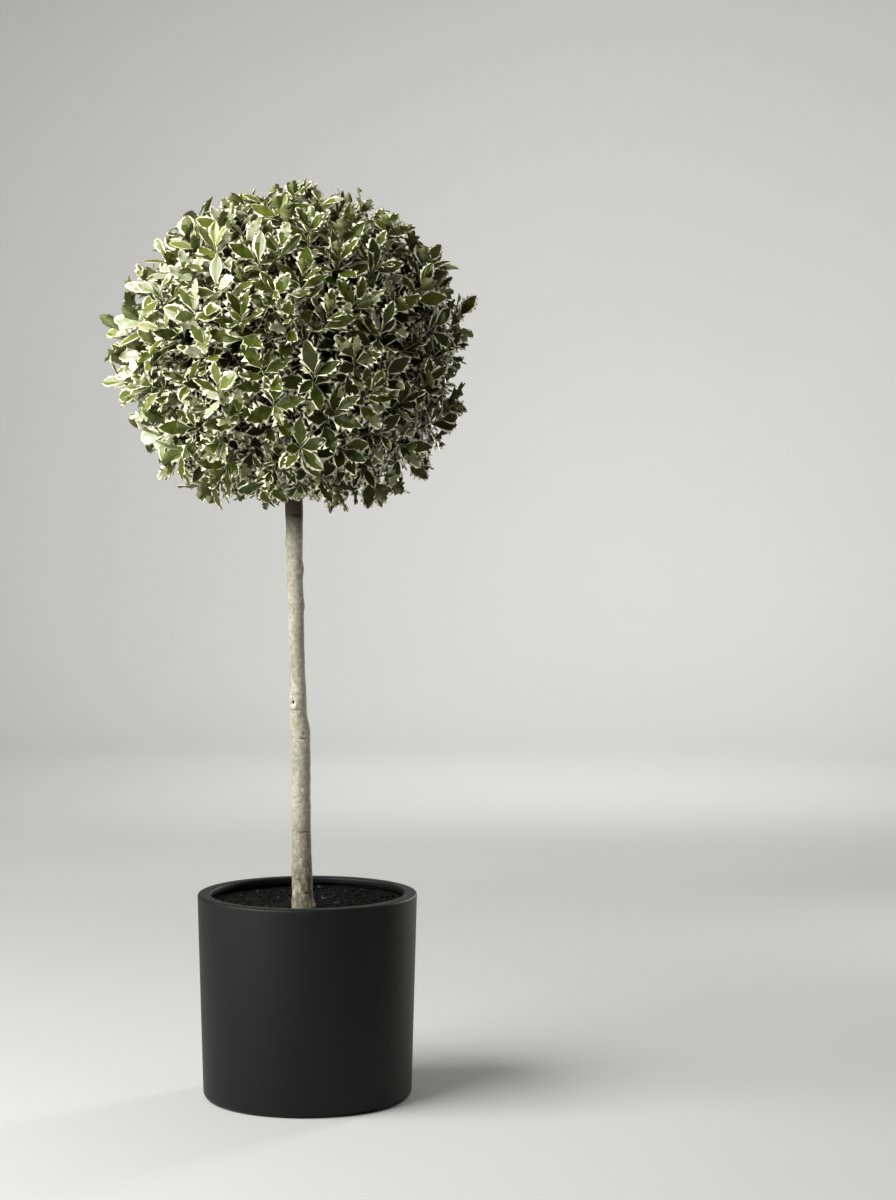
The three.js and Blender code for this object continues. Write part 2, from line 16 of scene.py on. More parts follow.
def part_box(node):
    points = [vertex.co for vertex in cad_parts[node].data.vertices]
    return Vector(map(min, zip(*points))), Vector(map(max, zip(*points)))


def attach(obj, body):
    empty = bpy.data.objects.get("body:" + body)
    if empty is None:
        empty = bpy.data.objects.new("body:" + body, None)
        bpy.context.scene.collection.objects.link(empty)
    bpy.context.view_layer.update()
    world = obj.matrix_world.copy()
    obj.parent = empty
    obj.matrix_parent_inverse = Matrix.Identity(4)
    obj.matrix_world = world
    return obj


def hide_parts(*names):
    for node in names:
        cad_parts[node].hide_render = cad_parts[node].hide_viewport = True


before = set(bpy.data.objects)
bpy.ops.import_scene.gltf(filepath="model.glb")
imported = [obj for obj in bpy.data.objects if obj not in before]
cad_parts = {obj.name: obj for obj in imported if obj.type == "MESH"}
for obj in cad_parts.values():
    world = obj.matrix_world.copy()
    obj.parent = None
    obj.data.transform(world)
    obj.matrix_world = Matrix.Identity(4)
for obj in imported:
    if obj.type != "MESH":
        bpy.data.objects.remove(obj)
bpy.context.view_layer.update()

bl_info = {
    "name": "Clipped Holly Standard",
    "version": (1, 0, 0),
    "blender": (4, 5, 0),
    "location": "3D View > Sidebar > Topiary",
    "description": "Builds a holly clipped to a ball on a clear stem, in a round planter",
    "category": "Object",
}

# Places that the frame gives
POT_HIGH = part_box("pot")[1]
MIX_LOW, MIX_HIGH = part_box("potting_mix")
STEM_LOW, STEM_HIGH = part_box("stem")
POT_RIM_RADIUS = POT_HIGH.x
POT_HEIGHT = POT_HIGH.z
STEM_FOOT = STEM_LOW.z
STEM_TOP = STEM_HIGH.z
SEAT_GAP = 0.0003

CRUMB_SEED = 31
LEAF_SHAPE_SEED = 5
LEAF_PLACE_SEED = 2024

# The potting mix is level out to this radius, then rises to the wall
MIX_LEVEL_RADIUS = 0.062
MIX_RISE_CURVE = 1.35

# How far the marks on the bark waver up and down, where over its foot the stem is damp, and where the
# head's shade sets in
MARK_SWAY = 0.0050
DAMP_HEIGHTS = (0.04, 0.21)
SHADE_HEIGHTS = (1.085, 1.140)

# The stem's course and thickness: height, then place or diameter there
STEM_COURSE_X = [
    (STEM_FOOT, -0.0095), (0.500, -0.0117), (0.690, -0.0120), (0.757, -0.0175),
    (0.905, -0.0205), (1.085, -0.0247), (STEM_TOP, -0.0270),
]
STEM_SWAY_Y = 0.003
STEM_SWAY_LENGTH = 0.620
STEM_DIAMETER = [
    (STEM_FOOT, 0.0430), (0.425, 0.0405), (0.540, 0.0370), (0.700, 0.0363), (0.765, 0.0340), (0.840, 0.0306),
    (0.905, 0.0296), (1.060, 0.0315), (1.175, 0.0352), (1.225, 0.0380), (STEM_TOP, 0.0320),
]
# The eye of the old knot: its middle, its bearing on the stem, the stem's radius there, its reach across
# and along the stem, and its depth
KNOT_PLACE = Vector((-0.0262, -0.0176, 0.7750))
KNOT_BEARING = -122
KNOT_STEM_RADIUS = 0.017
KNOT_REACH = (0.0045, 0.0055)
KNOT_DEPTH = 0.0030
# Steps sunk in the bark where shoots were: height, depth, bearing
STEM_SCARS = [(0.7615, 0.0012, -125), (0.704, 0.0012, -65), (0.520, 0.0010, -75), (1.140, 0.0009, -90)]
SCAR_SPREAD = 0.0022
# A root showing at the foot, nubs of rubbed-off shoots and the knot's swelling: height, bearing, rise, spread
STEM_NUBS = [
    (0.374, -24, 0.0070, 0.009), (0.596, -100, 0.0022, 0.013), (0.723, 5, 0.0024, 0.014),
    (0.774, -122, 0.0026, 0.015), (0.915, 178, 0.0018, 0.012), (0.964, 2, 0.0020, 0.011),
    (1.034, -8, 0.0022, 0.012), (1.087, 184, 0.0026, 0.012),
]

# The clipped head and the bearings of its masses, as in the source
HEAD_CENTRE = Vector((-0.030, 0.0, 1.480))
HEAD_RADIUS = 0.354
HEAD_RISE = 0.307
HEAD_DROP = 0.322
TOP_FULLNESS = 2.05
UNDERSIDE_FULLNESS = 2.9
# Where the shears went deeper or left more: direction, share of the reach, spread
HEAD_SWELLS = [
    ((-0.88, -0.20, -0.40), -0.055, 0.36), ((-0.78, -0.20, 0.58), -0.030, 0.36),
    ((-0.98, 0.0, 0.08), 0.035, 0.26), ((0.78, -0.20, -0.52), 0.012, 0.35),
    ((0.86, -0.10, 0.30), 0.036, 0.30), ((0.56, -0.10, 0.80), 0.045, 0.26),
    ((-0.55, 0.0, 0.82), 0.030, 0.22), ((-0.08, 0.0, 1.0), 0.034, 0.55),
    ((-0.56, -0.10, -0.80), 0.060, 0.24), ((0.62, -0.10, -0.76), 0.035, 0.24),
]
# Depth and scale of its smaller unevenness
HEAD_UNEVENNESS = (0.022, 3.1)
# Shoots that have grown past the clipped surface since
STRAY_DIRECTIONS = [(0.98, -0.14, 0.14), (-0.97, -0.10, -0.20), (-0.98, 0.05, 0.06)]
# The fuller ring round the underside: its share of the reach, level and spread
SKIRT_SWELL = 0.050
SKIRT_LEVEL = -0.83
SKIRT_SPREAD = 0.13
RING_COUNT = 5
RING_POLAR_ANGLE = math.degrees(math.atan(2))
FIRST_BEARING = -90.0

# The boughs, as in the source
BOUGH_REACH = 0.56
LEADER_DIAMETERS = (0.029, 0.012)
LEADER_SWAY = Vector((0.006, -0.005, 0.0))
BOUGH_DIAMETERS = (0.019, 0.011)
LOWER_BOUGH_START = 1.178
LOWER_BOUGH_STEP = 0.012
UPPER_BOUGH_START = 1.372
UPPER_BOUGH_STEP = 0.017
BOUGH_UPRIGHT = 0.066
BOUGH_BEND_SHARE = 0.3

GOLDEN_ANGLE = math.pi * (3 - math.sqrt(5))
UP = Vector((0.0, 0.0, 1.0))

# The photograph's framing: 896 by 1200 pixels, with the planter's axis left of the middle
CAMERA_PLACE = Vector((0.2757, -5.75, 1.325))
CAMERA_PITCH = math.radians(-1.55)
CAMERA_LENS = 88.3
CAMERA_SHIFT = -100 / 1200
FILM_LONG_SIDE = 36.0


# The user's settings

def length_setting(name, description, default):
    return FloatProperty(name=name, description=description, default=default, subtype="DISTANCE")


def power_setting(name, description, default):
    return FloatProperty(name=name, description=description, default=default, subtype="POWER")


def count_setting(name, description, default):
    return IntProperty(name=name, description=description, default=default)


def colour_setting(name, description, default):
    return FloatVectorProperty(name=name, description=description, default=default, size=3, subtype="COLOR")


class PlanterSettings(bpy.types.PropertyGroup):
    """Sizes and colour of the planter"""

    foot_radius: length_setting("Foot radius", "Radius at the ground", 0.204)
    lip_width: length_setting("Lip width", "Width of the flat rim", 0.025)
    lip_depth: length_setting("Lip depth", "Depth of the rim inside", 0.012)
    wall: length_setting("Wall", "Thickness of the wall", 0.012)
    colour: colour_setting("Colour", "Colour of the composite", (0.0029, 0.0030, 0.0036))


class MixSettings(bpy.types.PropertyGroup):
    """Shape of the potting mix and its crumbs"""

    stem_depth: length_setting("Depth at stem", "How far the mix lies below the rim", 0.033)
    crumbs: count_setting("Crumbs", "Number of loose crumbs and chips", 2600)


class StemSettings(bpy.types.PropertyGroup):
    """Bark of the stem and boughs"""

    relief: length_setting("Relief", "Depth of the bark's relief", 0.0007)
    colour: colour_setting("Colour", "Colour of clean bark", (0.450, 0.428, 0.345))


class FoliageSettings(bpy.types.PropertyGroup):
    """Numbers and sizes of the head's twigs and leaves"""

    outer_sprays: count_setting("Outer sprays", "Sprays of leaves at the clipped surface", 185)
    middle_sprays: count_setting("Middle sprays", "Sprays just below the surface, seen between those", 170)
    inner_sprays: count_setting("Inner sprays", "Plain shaded sprays deeper in", 220)
    leaf_length: length_setting("Leaf length", "Length of a grown leaf", 0.071)
    leaf_width: length_setting("Leaf width", "Width of a grown leaf", 0.0375)


class StageSettings(bpy.types.PropertyGroup):
    """Light and floor"""

    key_power: power_setting("Key light", "Power of the broad soft light from the left", 512.0)
    backdrop_power: power_setting("Backdrop light", "Power of the light on the backdrop", 90.0)
    floor_power: power_setting("Floor light", "Power of the light on the floor behind the plant", 15.0)
    edge_power: power_setting("Edge light", "Power of the weak light from the right and behind", 12.0)
    sky: FloatProperty(name="Sky", description="Strength of the light from all round", default=0.228)
    floor_colour: colour_setting("Floor", "Colour of the floor and backdrop", (0.525, 0.530, 0.522))


# Small tools

def clamp(value, low=0.0, high=1.0):
    return min(max(value, low), high)


def eased_between(knots, height):
    """The value at a height, eased from one knot to the next."""
    for (low, low_value), (high, high_value) in zip(knots, knots[1:]):
        if height <= high:
            share = clamp((height - low) / (high - low))
            share = share * share * (3 - 2 * share)
            return low_value + (high_value - low_value) * share
    return knots[-1][1]


def bearing_vector(bearing, polar_angle):
    turn = math.radians(bearing)
    fall = math.radians(polar_angle)
    return Vector((math.sin(fall) * math.cos(turn), math.sin(fall) * math.sin(turn), math.cos(fall)))


def scatter(chance, spread):
    return Vector([chance.gauss(0, spread) for _ in range(3)])


def crosswise(axis):
    """A direction square to an axis."""
    helper = UP if abs(axis.z) < 0.9 else Vector((1.0, 0.0, 0.0))
    return helper.cross(axis).normalized()


def turned_about(direction, axis, angle):
    turned = direction.copy()
    turned.rotate(Quaternion(axis, angle))
    return turned


def bent_course(start, bend, end, steps):
    """Points along a curve from a start to an end that leans towards a bend."""
    shares = [step / steps for step in range(steps + 1)]
    return [start.lerp(bend, share).lerp(bend.lerp(end, share), share) for share in shares]


def deselect_all():
    if bpy.context.mode != "OBJECT":
        bpy.ops.object.mode_set(mode="OBJECT")
    bpy.ops.object.select_all(action="DESELECT")


def extrude_up(rise):
    bpy.ops.mesh.extrude_region_move(TRANSFORM_OT_translate={"value": (0, 0, rise)})


def widen(factor, centre):
    bpy.ops.transform.resize(value=(factor, factor, 1), center_override=centre)


def faces_up(normal):
    return normal.z > 0.9


def faces_down(normal):
    return normal.z < -0.9


def active_piece(name):
    piece = bpy.context.view_layer.objects.active
    piece.name = name
    piece.data.name = name
    return piece


def begin_piece(name, add, **sizes):
    """Adds a primitive, puts its place in its mesh and opens it for editing."""
    deselect_all()
    add(**sizes)
    piece = active_piece(name)
    bpy.ops.object.transform_apply(location=True)
    bpy.ops.object.mode_set(mode="EDIT")
    return piece


def select_where(piece, kind, test):
    """Selects the faces whose normal, or the edges whose ends, pass a test; edit mode stays on."""
    bpy.ops.mesh.select_mode(type=kind)
    bpy.ops.mesh.select_all(action="DESELECT")
    work = bmesh.from_edit_mesh(piece.data)
    for part in work.faces if kind == "FACE" else work.edges:
        facts = [part.normal] if kind == "FACE" else [end.co for end in part.verts]
        if test(*facts):
            part.select_set(True)
    work.select_flush_mode()
    bmesh.update_edit_mesh(piece.data)


def finish_piece(piece, slot, material, *nodes):
    """Puts a piece's place in its mesh, gives it its finish and lets it ride on the plant."""
    deselect_all()
    piece.select_set(True)
    bpy.context.view_layer.objects.active = piece
    bpy.ops.object.transform_apply(location=True, rotation=True, scale=True)
    if material is not None:
        piece.data.materials.clear()
        piece.data.materials.append(material)
    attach(piece, "root")
    if nodes:
        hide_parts(*nodes)
    return piece


def mesh_piece(name, points, faces, slots, materials, creased=None):
    """A mesh from arrays.

    They are points, faces of three or four corners, each face's material, and which points are creased:
    an edge between two of these stays sharp.
    """
    corners = faces.shape[1]
    mesh = bpy.data.meshes.new(name)
    mesh.vertices.add(len(points))
    mesh.vertices.foreach_set("co", np.asarray(points, np.float32).ravel())
    mesh.loops.add(len(faces) * corners)
    mesh.loops.foreach_set("vertex_index", np.asarray(faces, np.int32).ravel())
    mesh.polygons.add(len(faces))
    mesh.polygons.foreach_set("loop_start", np.arange(0, len(faces) * corners, corners, dtype=np.int32))
    mesh.polygons.foreach_set("material_index", np.asarray(slots, np.int32))
    for material in materials:
        mesh.materials.append(material)
    mesh.update(calc_edges=True)
    mesh.shade_smooth()
    if creased is not None:
        ends = np.empty(len(mesh.edges) * 2, np.int32)
        mesh.edges.foreach_get("vertices", ends)
        mesh.edges.foreach_set("use_edge_sharp", creased[ends].reshape(-1, 2).all(axis=1))
    piece = bpy.data.objects.new(name, mesh)
    bpy.context.scene.collection.objects.link(piece)
    return piece


# Nodes of materials and of the groups that they share

def rgba(colour, factor=1.0):
    return (*[factor * part for part in colour], 1.0)


def add_node(tree, kind, inputs, output=0, **options):
    """Adds a node, sets its options and sets or links its inputs, and returns one of its outputs."""
    node = tree.nodes.new(f"ShaderNode{kind}")
    for name, value in options.items():
        setattr(node, name, value)
    for label, value in inputs.items():
        if isinstance(value, bpy.types.NodeSocket):
            tree.links.new(value, node.inputs[label])
        else:
            node.inputs[label].default_value = value
    return node.outputs[output]


def noise_of(tree, place, scale, detail):
    return add_node(tree, "TexNoise", {"Vector": place, "Scale": scale, "Detail": detail}, "Fac")


def ramp_of(tree, value, low, high, most=1.0):
    """A mask that rises from 0 to its most as the value goes from low to high."""
    return add_node(
        tree, "MapRange", {"Value": value, "From Min": low, "From Max": high, "To Max": most}, "Result")


def product_of(tree, one, other):
    return add_node(tree, "Math", {0: one, 1: other}, operation="MULTIPLY")


def mixed(tree, mask, under, over, kind="RGBA"):
    """One colour or value laid over another by a mask."""
    return add_node(tree, "Mix", {"Factor": mask, "A": under, "B": over}, "Result", data_type=kind)


def vector_step(tree, operation, one, other, output="Vector"):
    return add_node(tree, "VectorMath", {0: one, 1: other}, output, operation=operation)


SOCKET_KINDS = {type(None): "NodeSocketVector", tuple: "NodeSocketColor", float: "NodeSocketFloat"}


def new_group(name, inputs, outputs):
    """An empty group with named sockets, and its own ends of them; a vector has no default."""
    group = bpy.data.node_groups.new(name, "ShaderNodeTree")
    for label, default in inputs.items():
        socket = group.interface.new_socket(
            name=label, in_out="INPUT", socket_type=SOCKET_KINDS[type(default)])
        if default is not None:
            socket.default_value = default
    for label, kind in outputs.items():
        group.interface.new_socket(name=label, in_out="OUTPUT", socket_type=f"NodeSocket{kind}")
    return group, group.nodes.new("NodeGroupInput").outputs, group.nodes.new("NodeGroupOutput").inputs


def speckle_group():
    """Two colours laid over a base, one by soft patches and one by fine grain."""
    name = "Speckle"
    if name in bpy.data.node_groups:
        return bpy.data.node_groups[name]
    group, given, result = new_group(name, {
        "Vector": None, "Base": (0.5, 0.5, 0.5, 1.0), "Patch": (0.4, 0.4, 0.4, 1.0),
        "Grain": (0.1, 0.1, 0.1, 1.0), "Patch Scale": 10.0, "Grain Scale": 300.0, "Patch Amount": 0.6,
        "Grain Amount": 0.5,
    }, {"Color": "Color"})
    drawn = given["Base"]
    for layer, low, high in [("Patch", 0.42, 0.62), ("Grain", 0.55, 0.68)]:
        pattern = noise_of(group, given["Vector"], given[f"{layer} Scale"], 4.0)
        mask = product_of(group, ramp_of(group, pattern, low, high), given[f"{layer} Amount"])
        drawn = mixed(group, mask, drawn, given[layer])
    group.links.new(drawn, result["Color"])
    return group


def relief_group():
    """A normal bumped by grain at two scales."""
    name = "Fine Relief"
    if name in bpy.data.node_groups:
        return bpy.data.node_groups[name]
    group, given, result = new_group(name, {
        "Vector": None, "Coarse Scale": 40.0, "Fine Scale": 300.0, "Fine Share": 0.4, "Strength": 0.5,
        "Distance": 0.001,
    }, {"Normal": "Vector", "Height": "Float"})
    coarse, fine = [noise_of(group, given["Vector"], given[scale], 5.0)
                    for scale in ("Coarse Scale", "Fine Scale")]
    height = mixed(group, given["Fine Share"], coarse, fine, "FLOAT")
    normal = add_node(group, "Bump", {
        "Strength": given["Strength"], "Distance": given["Distance"], "Height": height}, "Normal")
    group.links.new(normal, result["Normal"])
    group.links.new(height, result["Height"])
    return group


def place_group(tree, group, place, values):
    """Puts a group in a material with values of its own, and returns its outputs."""
    node = tree.nodes.new("ShaderNodeGroup")
    node.node_tree = group
    tree.links.new(place, node.inputs["Vector"])
    for label, value in values.items():
        node.inputs[label].default_value = value
    return node.outputs


# Finishes

def new_material(name, roughness, specular=0.5, colour=None):
    """A material, its tree and the sockets of its shader; small things have one plain colour."""
    material = bpy.data.materials.new(name)
    material.use_nodes = True
    shader = material.node_tree.nodes["Principled BSDF"].inputs
    shader["Roughness"].default_value = roughness
    shader["Specular IOR Level"].default_value = specular
    if colour is not None:
        shader["Base Color"].default_value = rgba(colour)
    return material, material.node_tree, shader


def speckled(tree, place, base, patch, grain, scales, amounts):
    """Colour from the speckle group: its three colours, then scale and amount of patches and of grain."""
    return place_group(tree, speckle_group(), place, {
        "Base": base, "Patch": patch, "Grain": grain, "Patch Scale": scales[0], "Grain Scale": scales[1],
        "Patch Amount": amounts[0], "Grain Amount": amounts[1]})["Color"]


def embossed(tree, place, shader, scales, fine_share, strength, distance):
    """Gives a shader its fine relief, and returns the relief's height."""
    relief = place_group(tree, relief_group(), place, {
        "Coarse Scale": scales[0], "Fine Scale": scales[1], "Fine Share": fine_share, "Strength": strength,
        "Distance": distance})
    tree.links.new(relief["Normal"], shader["Normal"])
    return relief["Height"]


def object_place(tree):
    return add_node(tree, "TexCoord", {}, "Object")


def pot_finish(colour):
    """Matt black composite, faintly cloudy, with a fine cast texture."""
    material, tree, shader = new_material("pot_composite", roughness=0.5, specular=0.235)
    place = object_place(tree)
    drawn = speckled(
        tree, place, rgba(colour), rgba(colour, 1.35), rgba(colour, 2.2), scales=(7.0, 420.0),
        amounts=(0.6, 0.35))
    height = embossed(
        tree, place, shader, scales=(60.0, 650.0), fine_share=0.55, strength=0.22, distance=0.0006)
    dull = add_node(tree, "MapRange", {"Value": height, "To Min": 0.42, "To Max": 0.62}, "Result")
    tree.links.new(drawn, shader["Base Color"])
    tree.links.new(dull, shader["Roughness"])
    return material


def mix_finish():
    """Damp potting mix: nearly black, with paler grains."""
    material, tree, shader = new_material("mix_soil", roughness=0.9, specular=0.12)
    place = object_place(tree)
    drawn = speckled(
        tree, place, (0.0022, 0.0021, 0.0022, 1), (0.0040, 0.0038, 0.0038, 1), (0.016, 0.016, 0.017, 1),
        scales=(45.0, 300.0), amounts=(0.8, 0.5))
    tree.links.new(drawn, shader["Base Color"])
    embossed(tree, place, shader, scales=(120.0, 500.0), fine_share=0.4, strength=0.9, distance=0.003)
    return material


def bark_finish(name, colour, shade, mottle, marks):
    """Smooth pale bark: soft mottling, dark flecks and cross-wise pores, and marks where shoots were.

    It is darker and damper at the foot, and dark in the head's shade. A mark has a middle, its reach
    along each axis and a colour.
    """
    material, tree, shader = new_material(name, roughness=0.75, specular=0.25)
    place = object_place(tree)
    drawn = speckled(
        tree, place, rgba(colour), rgba(mottle), rgba(shade), scales=(130.0, 430.0), amounts=(0.9, 0.85))

    pores, clouds, waver = [
        noise_of(tree, add_node(tree, "Mapping", {"Vector": place, "Scale": squeeze}), 1.0, 3.0)
        for squeeze in [(70.0, 70.0, 520.0), (22.0, 22.0, 9.0), (140.0, 140.0, 60.0)]]
    height = add_node(tree, "SeparateXYZ", {"Vector": place}, "Z")
    damp_low, damp_high = DAMP_HEIGHTS
    damp = product_of(tree, ramp_of(tree, height, STEM_FOOT + damp_high, STEM_FOOT + damp_low),
                      ramp_of(tree, waver, 0.32, 0.56, 0.88))
    for mask, over in [
            (ramp_of(tree, clouds, 0.48, 0.68, 0.55), rgba(mottle, 0.72)),
            (ramp_of(tree, pores, 0.60, 0.72, 0.42), rgba(shade, 0.7)),
            (damp, rgba((0.110, 0.098, 0.055))),
            (ramp_of(tree, height, *SHADE_HEIGHTS, 0.97), rgba((0.040, 0.028, 0.016)))]:
        drawn = mixed(tree, mask, drawn, over)

    sway = add_node(
        tree, "Math", {0: waver, 1: MARK_SWAY, 2: -MARK_SWAY / 2}, operation="MULTIPLY_ADD")
    swayed = vector_step(tree, "ADD", place, add_node(tree, "CombineXYZ", {"Z": sway}))
    for middle, reach, inside in marks:
        apart = vector_step(tree, "SUBTRACT", swayed, middle)
        apart = vector_step(tree, "DIVIDE", apart, reach)
        distance = add_node(tree, "VectorMath", {0: apart}, "Value", operation="LENGTH")
        drawn = mixed(tree, ramp_of(tree, distance, 1.0, 0.55), drawn, rgba(inside))

    tree.links.new(drawn, shader["Base Color"])
    embossed(tree, place, shader, scales=(110.0, 480.0), fine_share=0.45, strength=0.8, distance=0.0016)
    return material


def floor_finish(colour):
    """Matt studio paint."""
    material, tree, shader = new_material("floor_paint", roughness=0.85)
    drawn = speckled(
        tree, object_place(tree), rgba(colour), rgba(colour, 0.985), rgba(colour, 0.97),
        scales=(0.8, 60.0), amounts=(1.0, 0.5))
    tree.links.new(drawn, shader["Base Color"])
    return material


# The planter

class TOPIARY_OT_planter(bpy.types.Operator):
    """Turn the planter: tapered wall, rounded foot, flat lip with an undercut"""

    bl_idname = "topiary.planter"
    bl_label = "Planter"

    sides = 144
    undercut = 0.002
    floor_thickness = 0.014
    smooth_angle = math.radians(35)

    def execute(self, context):
        settings = context.scene.topiary_planter
        lip_inner = POT_RIM_RADIUS - settings.lip_width
        wall_inner = POT_RIM_RADIUS - settings.wall
        pot = begin_piece(
            "planter", bpy.ops.mesh.primitive_cylinder_add, vertices=self.sides,
            radius=settings.foot_radius, depth=POT_HEIGHT, location=(0, 0, POT_HEIGHT / 2))
        axis = (0, 0, POT_HEIGHT)
        select_where(pot, "FACE", faces_up)
        widen(POT_RIM_RADIUS / settings.foot_radius, axis)
        bpy.ops.mesh.inset(thickness=settings.lip_width)
        extrude_up(-settings.lip_depth)
        extrude_up(-self.undercut)
        widen(wall_inner / lip_inner, axis)
        extrude_up(self.floor_thickness + settings.lip_depth + self.undercut - POT_HEIGHT)
        widen((settings.foot_radius - settings.wall) / wall_inner, axis)

        # Roundings of the foot, the lip's outer edge, its inner edge and the corner below that
        for radius, height, width, segments in [
                (settings.foot_radius, 0.0, 0.014, 7),
                (POT_RIM_RADIUS, POT_HEIGHT, 0.005, 5),
                (lip_inner, POT_HEIGHT, 0.0032, 4),
                (lip_inner, POT_HEIGHT - settings.lip_depth, 0.0015, 2)]:
            self.round_edge(pot, radius, height, width, segments)
        bpy.ops.object.mode_set(mode="OBJECT")
        bpy.ops.object.shade_smooth_by_angle(angle=self.smooth_angle)
        finish_piece(pot, "pot", pot_finish(settings.colour), "pot")
        return {"FINISHED"}

    def round_edge(self, pot, radius, height, width, segments):
        def on_ring(one, other):
            return all(abs(end.xy.length - radius) < 1e-4 and abs(end.z - height) < 1e-4
                       for end in (one, other))

        select_where(pot, "EDGE", on_ring)
        bpy.ops.mesh.bevel(offset=width, segments=segments, profile=0.5)


# The potting mix

def mix_height(radius, stem_depth):
    """Height of the mix: level near the stem, then rising to the wall."""
    share = clamp((radius - MIX_LEVEL_RADIUS) / (MIX_HIGH.x - MIX_LEVEL_RADIUS))
    level = POT_HEIGHT - stem_depth
    return level + (MIX_HIGH.z - level) * share ** MIX_RISE_CURVE


class TOPIARY_OT_mix(bpy.types.Operator):
    """Fill the planter with potting mix and strew loose crumbs and bark chips on it"""

    bl_idname = "topiary.mix"
    bl_label = "Potting mix"

    sides = 120
    side_gap = 0.0004
    foot_share = 0.94
    rings = 34
    ringed_share = 0.97
    # Size and depth of the lumps in its surface, and the radius within which it has none that rise
    lumps = [(55, 0.0022), (170, 0.0018)]
    stem_clearance = 0.040
    # Points this far below the top and off the wall keep their place
    level_zone = 0.001
    wall_zone = 0.002
    strewn_radii = (0.030, 0.188)
    crumb_sizes = (0.0010, 0.0026)
    crumb_bumps = 0.28
    crumb_lean = 0.25
    sunk_share = 0.3
    # Most are crumbs and the rest chips, each with its stretch
    crumb_share = 0.72
    crumb_stretch = (1.0, 1.0, 0.7)
    chip_stretch = (2.6, 0.9, 0.4)
    # Their colours, each up to its share of them all
    crumb_colours = [
        ("crumb_dark", (0.0020, 0.0020, 0.0021), 0.5), ("crumb_brown", (0.0075, 0.0068, 0.0062), 0.93),
        ("crumb_pale", (0.034, 0.036, 0.042), 1.0)]

    def execute(self, context):
        settings = context.scene.topiary_mix
        depth = MIX_HIGH.z - MIX_LOW.z
        mix = begin_piece(
            "potting_mix_fill", bpy.ops.mesh.primitive_cylinder_add, vertices=self.sides,
            radius=MIX_HIGH.x - self.side_gap, depth=depth, location=(0, 0, MIX_LOW.z + depth / 2))
        select_where(mix, "FACE", faces_down)
        widen(self.foot_share, (0, 0, MIX_LOW.z))
        select_where(mix, "FACE", faces_up)
        for _ in range(self.rings):
            bpy.ops.mesh.inset(thickness=MIX_HIGH.x * self.ringed_share / self.rings)
        bpy.ops.object.mode_set(mode="OBJECT")
        for vertex in mix.data.vertices:
            place = vertex.co
            radius = place.xy.length
            if place.z > MIX_HIGH.z - self.level_zone and radius < MIX_HIGH.x - self.wall_zone:
                rough = sum(noise.noise(place * scale) * height for scale, height in self.lumps)
                if radius < self.stem_clearance:
                    rough = min(rough, 0.0)
                place.z = mix_height(radius, settings.stem_depth) + rough
        mix.data.shade_smooth()
        finish_piece(mix, "potting_mix", mix_finish(), "potting_mix")
        self.strew_crumbs(settings)
        return {"FINISHED"}

    def strew_crumbs(self, settings):
        """Crumbs are bent copies of one small ball, some drawn out to chips and fibres."""
        deselect_all()
        bpy.ops.mesh.primitive_ico_sphere_add(subdivisions=1, radius=1.0)
        pattern = bpy.context.view_layer.objects.active
        ball = np.array([vertex.co[:] for vertex in pattern.data.vertices])
        faces = np.array([face.vertices[:] for face in pattern.data.polygons])
        bpy.data.objects.remove(pattern)
        chance = random.Random(CRUMB_SEED)
        nearest, farthest = self.strewn_radii
        least_size, more_size = self.crumb_sizes
        points, triangles, slots = [], [], []
        for index in range(settings.crumbs):
            radius = farthest * math.sqrt(chance.random())
            turn = chance.uniform(0, 2 * math.pi)
            size = least_size + more_size * chance.random() ** 3
            kind = chance.random()
            stretch = self.crumb_stretch if kind < self.crumb_share else self.chip_stretch
            if radius < nearest:
                continue
            axis = (chance.gauss(0, self.crumb_lean), chance.gauss(0, self.crumb_lean), 1.0)
            turned = Quaternion(axis, turn).to_matrix()
            bumps = 1 + self.crumb_bumps * np.array([chance.uniform(-1, 1) for _ in range(len(ball))])
            shape = (ball * bumps[:, None] * size * np.array(stretch)) @ np.array(turned).T
            bearing = index * GOLDEN_ANGLE
            height = mix_height(radius, settings.stem_depth)
            points.append(shape + np.array([
                radius * math.cos(bearing), radius * math.sin(bearing), height + size * self.sunk_share]))
            triangles.append(faces + len(ball) * (len(points) - 1))
            slots.append(np.full(len(faces), sum(kind >= share for _, _, share in self.crumb_colours)))
        materials = [new_material(name, roughness=0.9, specular=0.15, colour=colour)[0]
                     for name, colour, _ in self.crumb_colours]
        crumbs = mesh_piece(
            "mix_crumbs", np.concatenate(points), np.concatenate(triangles), np.concatenate(slots), materials)
        finish_piece(crumbs, "potting_mix", None)


# The stem and boughs

def stem_centre(height):
    sway = STEM_SWAY_Y * math.sin(2 * math.pi * (height - STEM_FOOT) / STEM_SWAY_LENGTH)
    return Vector((eased_between(STEM_COURSE_X, height), sway, height))


def stem_radius(height, bearing):
    radius = eased_between(STEM_DIAMETER, height) / 2
    for nub_height, nub_bearing, rise, spread in STEM_NUBS:
        along = height - nub_height
        across = radius * 2 * math.sin((bearing - math.radians(nub_bearing)) / 2)
        radius += rise * math.exp(-(along * along + across * across) / (spread * spread))
    return radius


def knot_hollow(height, bearing):
    """How deep the bark is sunk: the old knot's small eye in its swelling, and the scars' steps."""
    reach_across, reach_along = KNOT_REACH
    along = (height - KNOT_PLACE.z) / reach_along
    across = math.sin((bearing - math.radians(KNOT_BEARING)) / 2) * 2 * KNOT_STEM_RADIUS / reach_across
    eye = -KNOT_DEPTH * math.exp(-(along * along + across * across))
    steps = 0.0
    for scar_height, depth, scar_bearing in STEM_SCARS:
        facing = max(0.0, math.cos(bearing - math.radians(scar_bearing)))
        steps -= depth * facing * math.exp(-(((height - scar_height) / SCAR_SPREAD) ** 2))
    return eye + steps


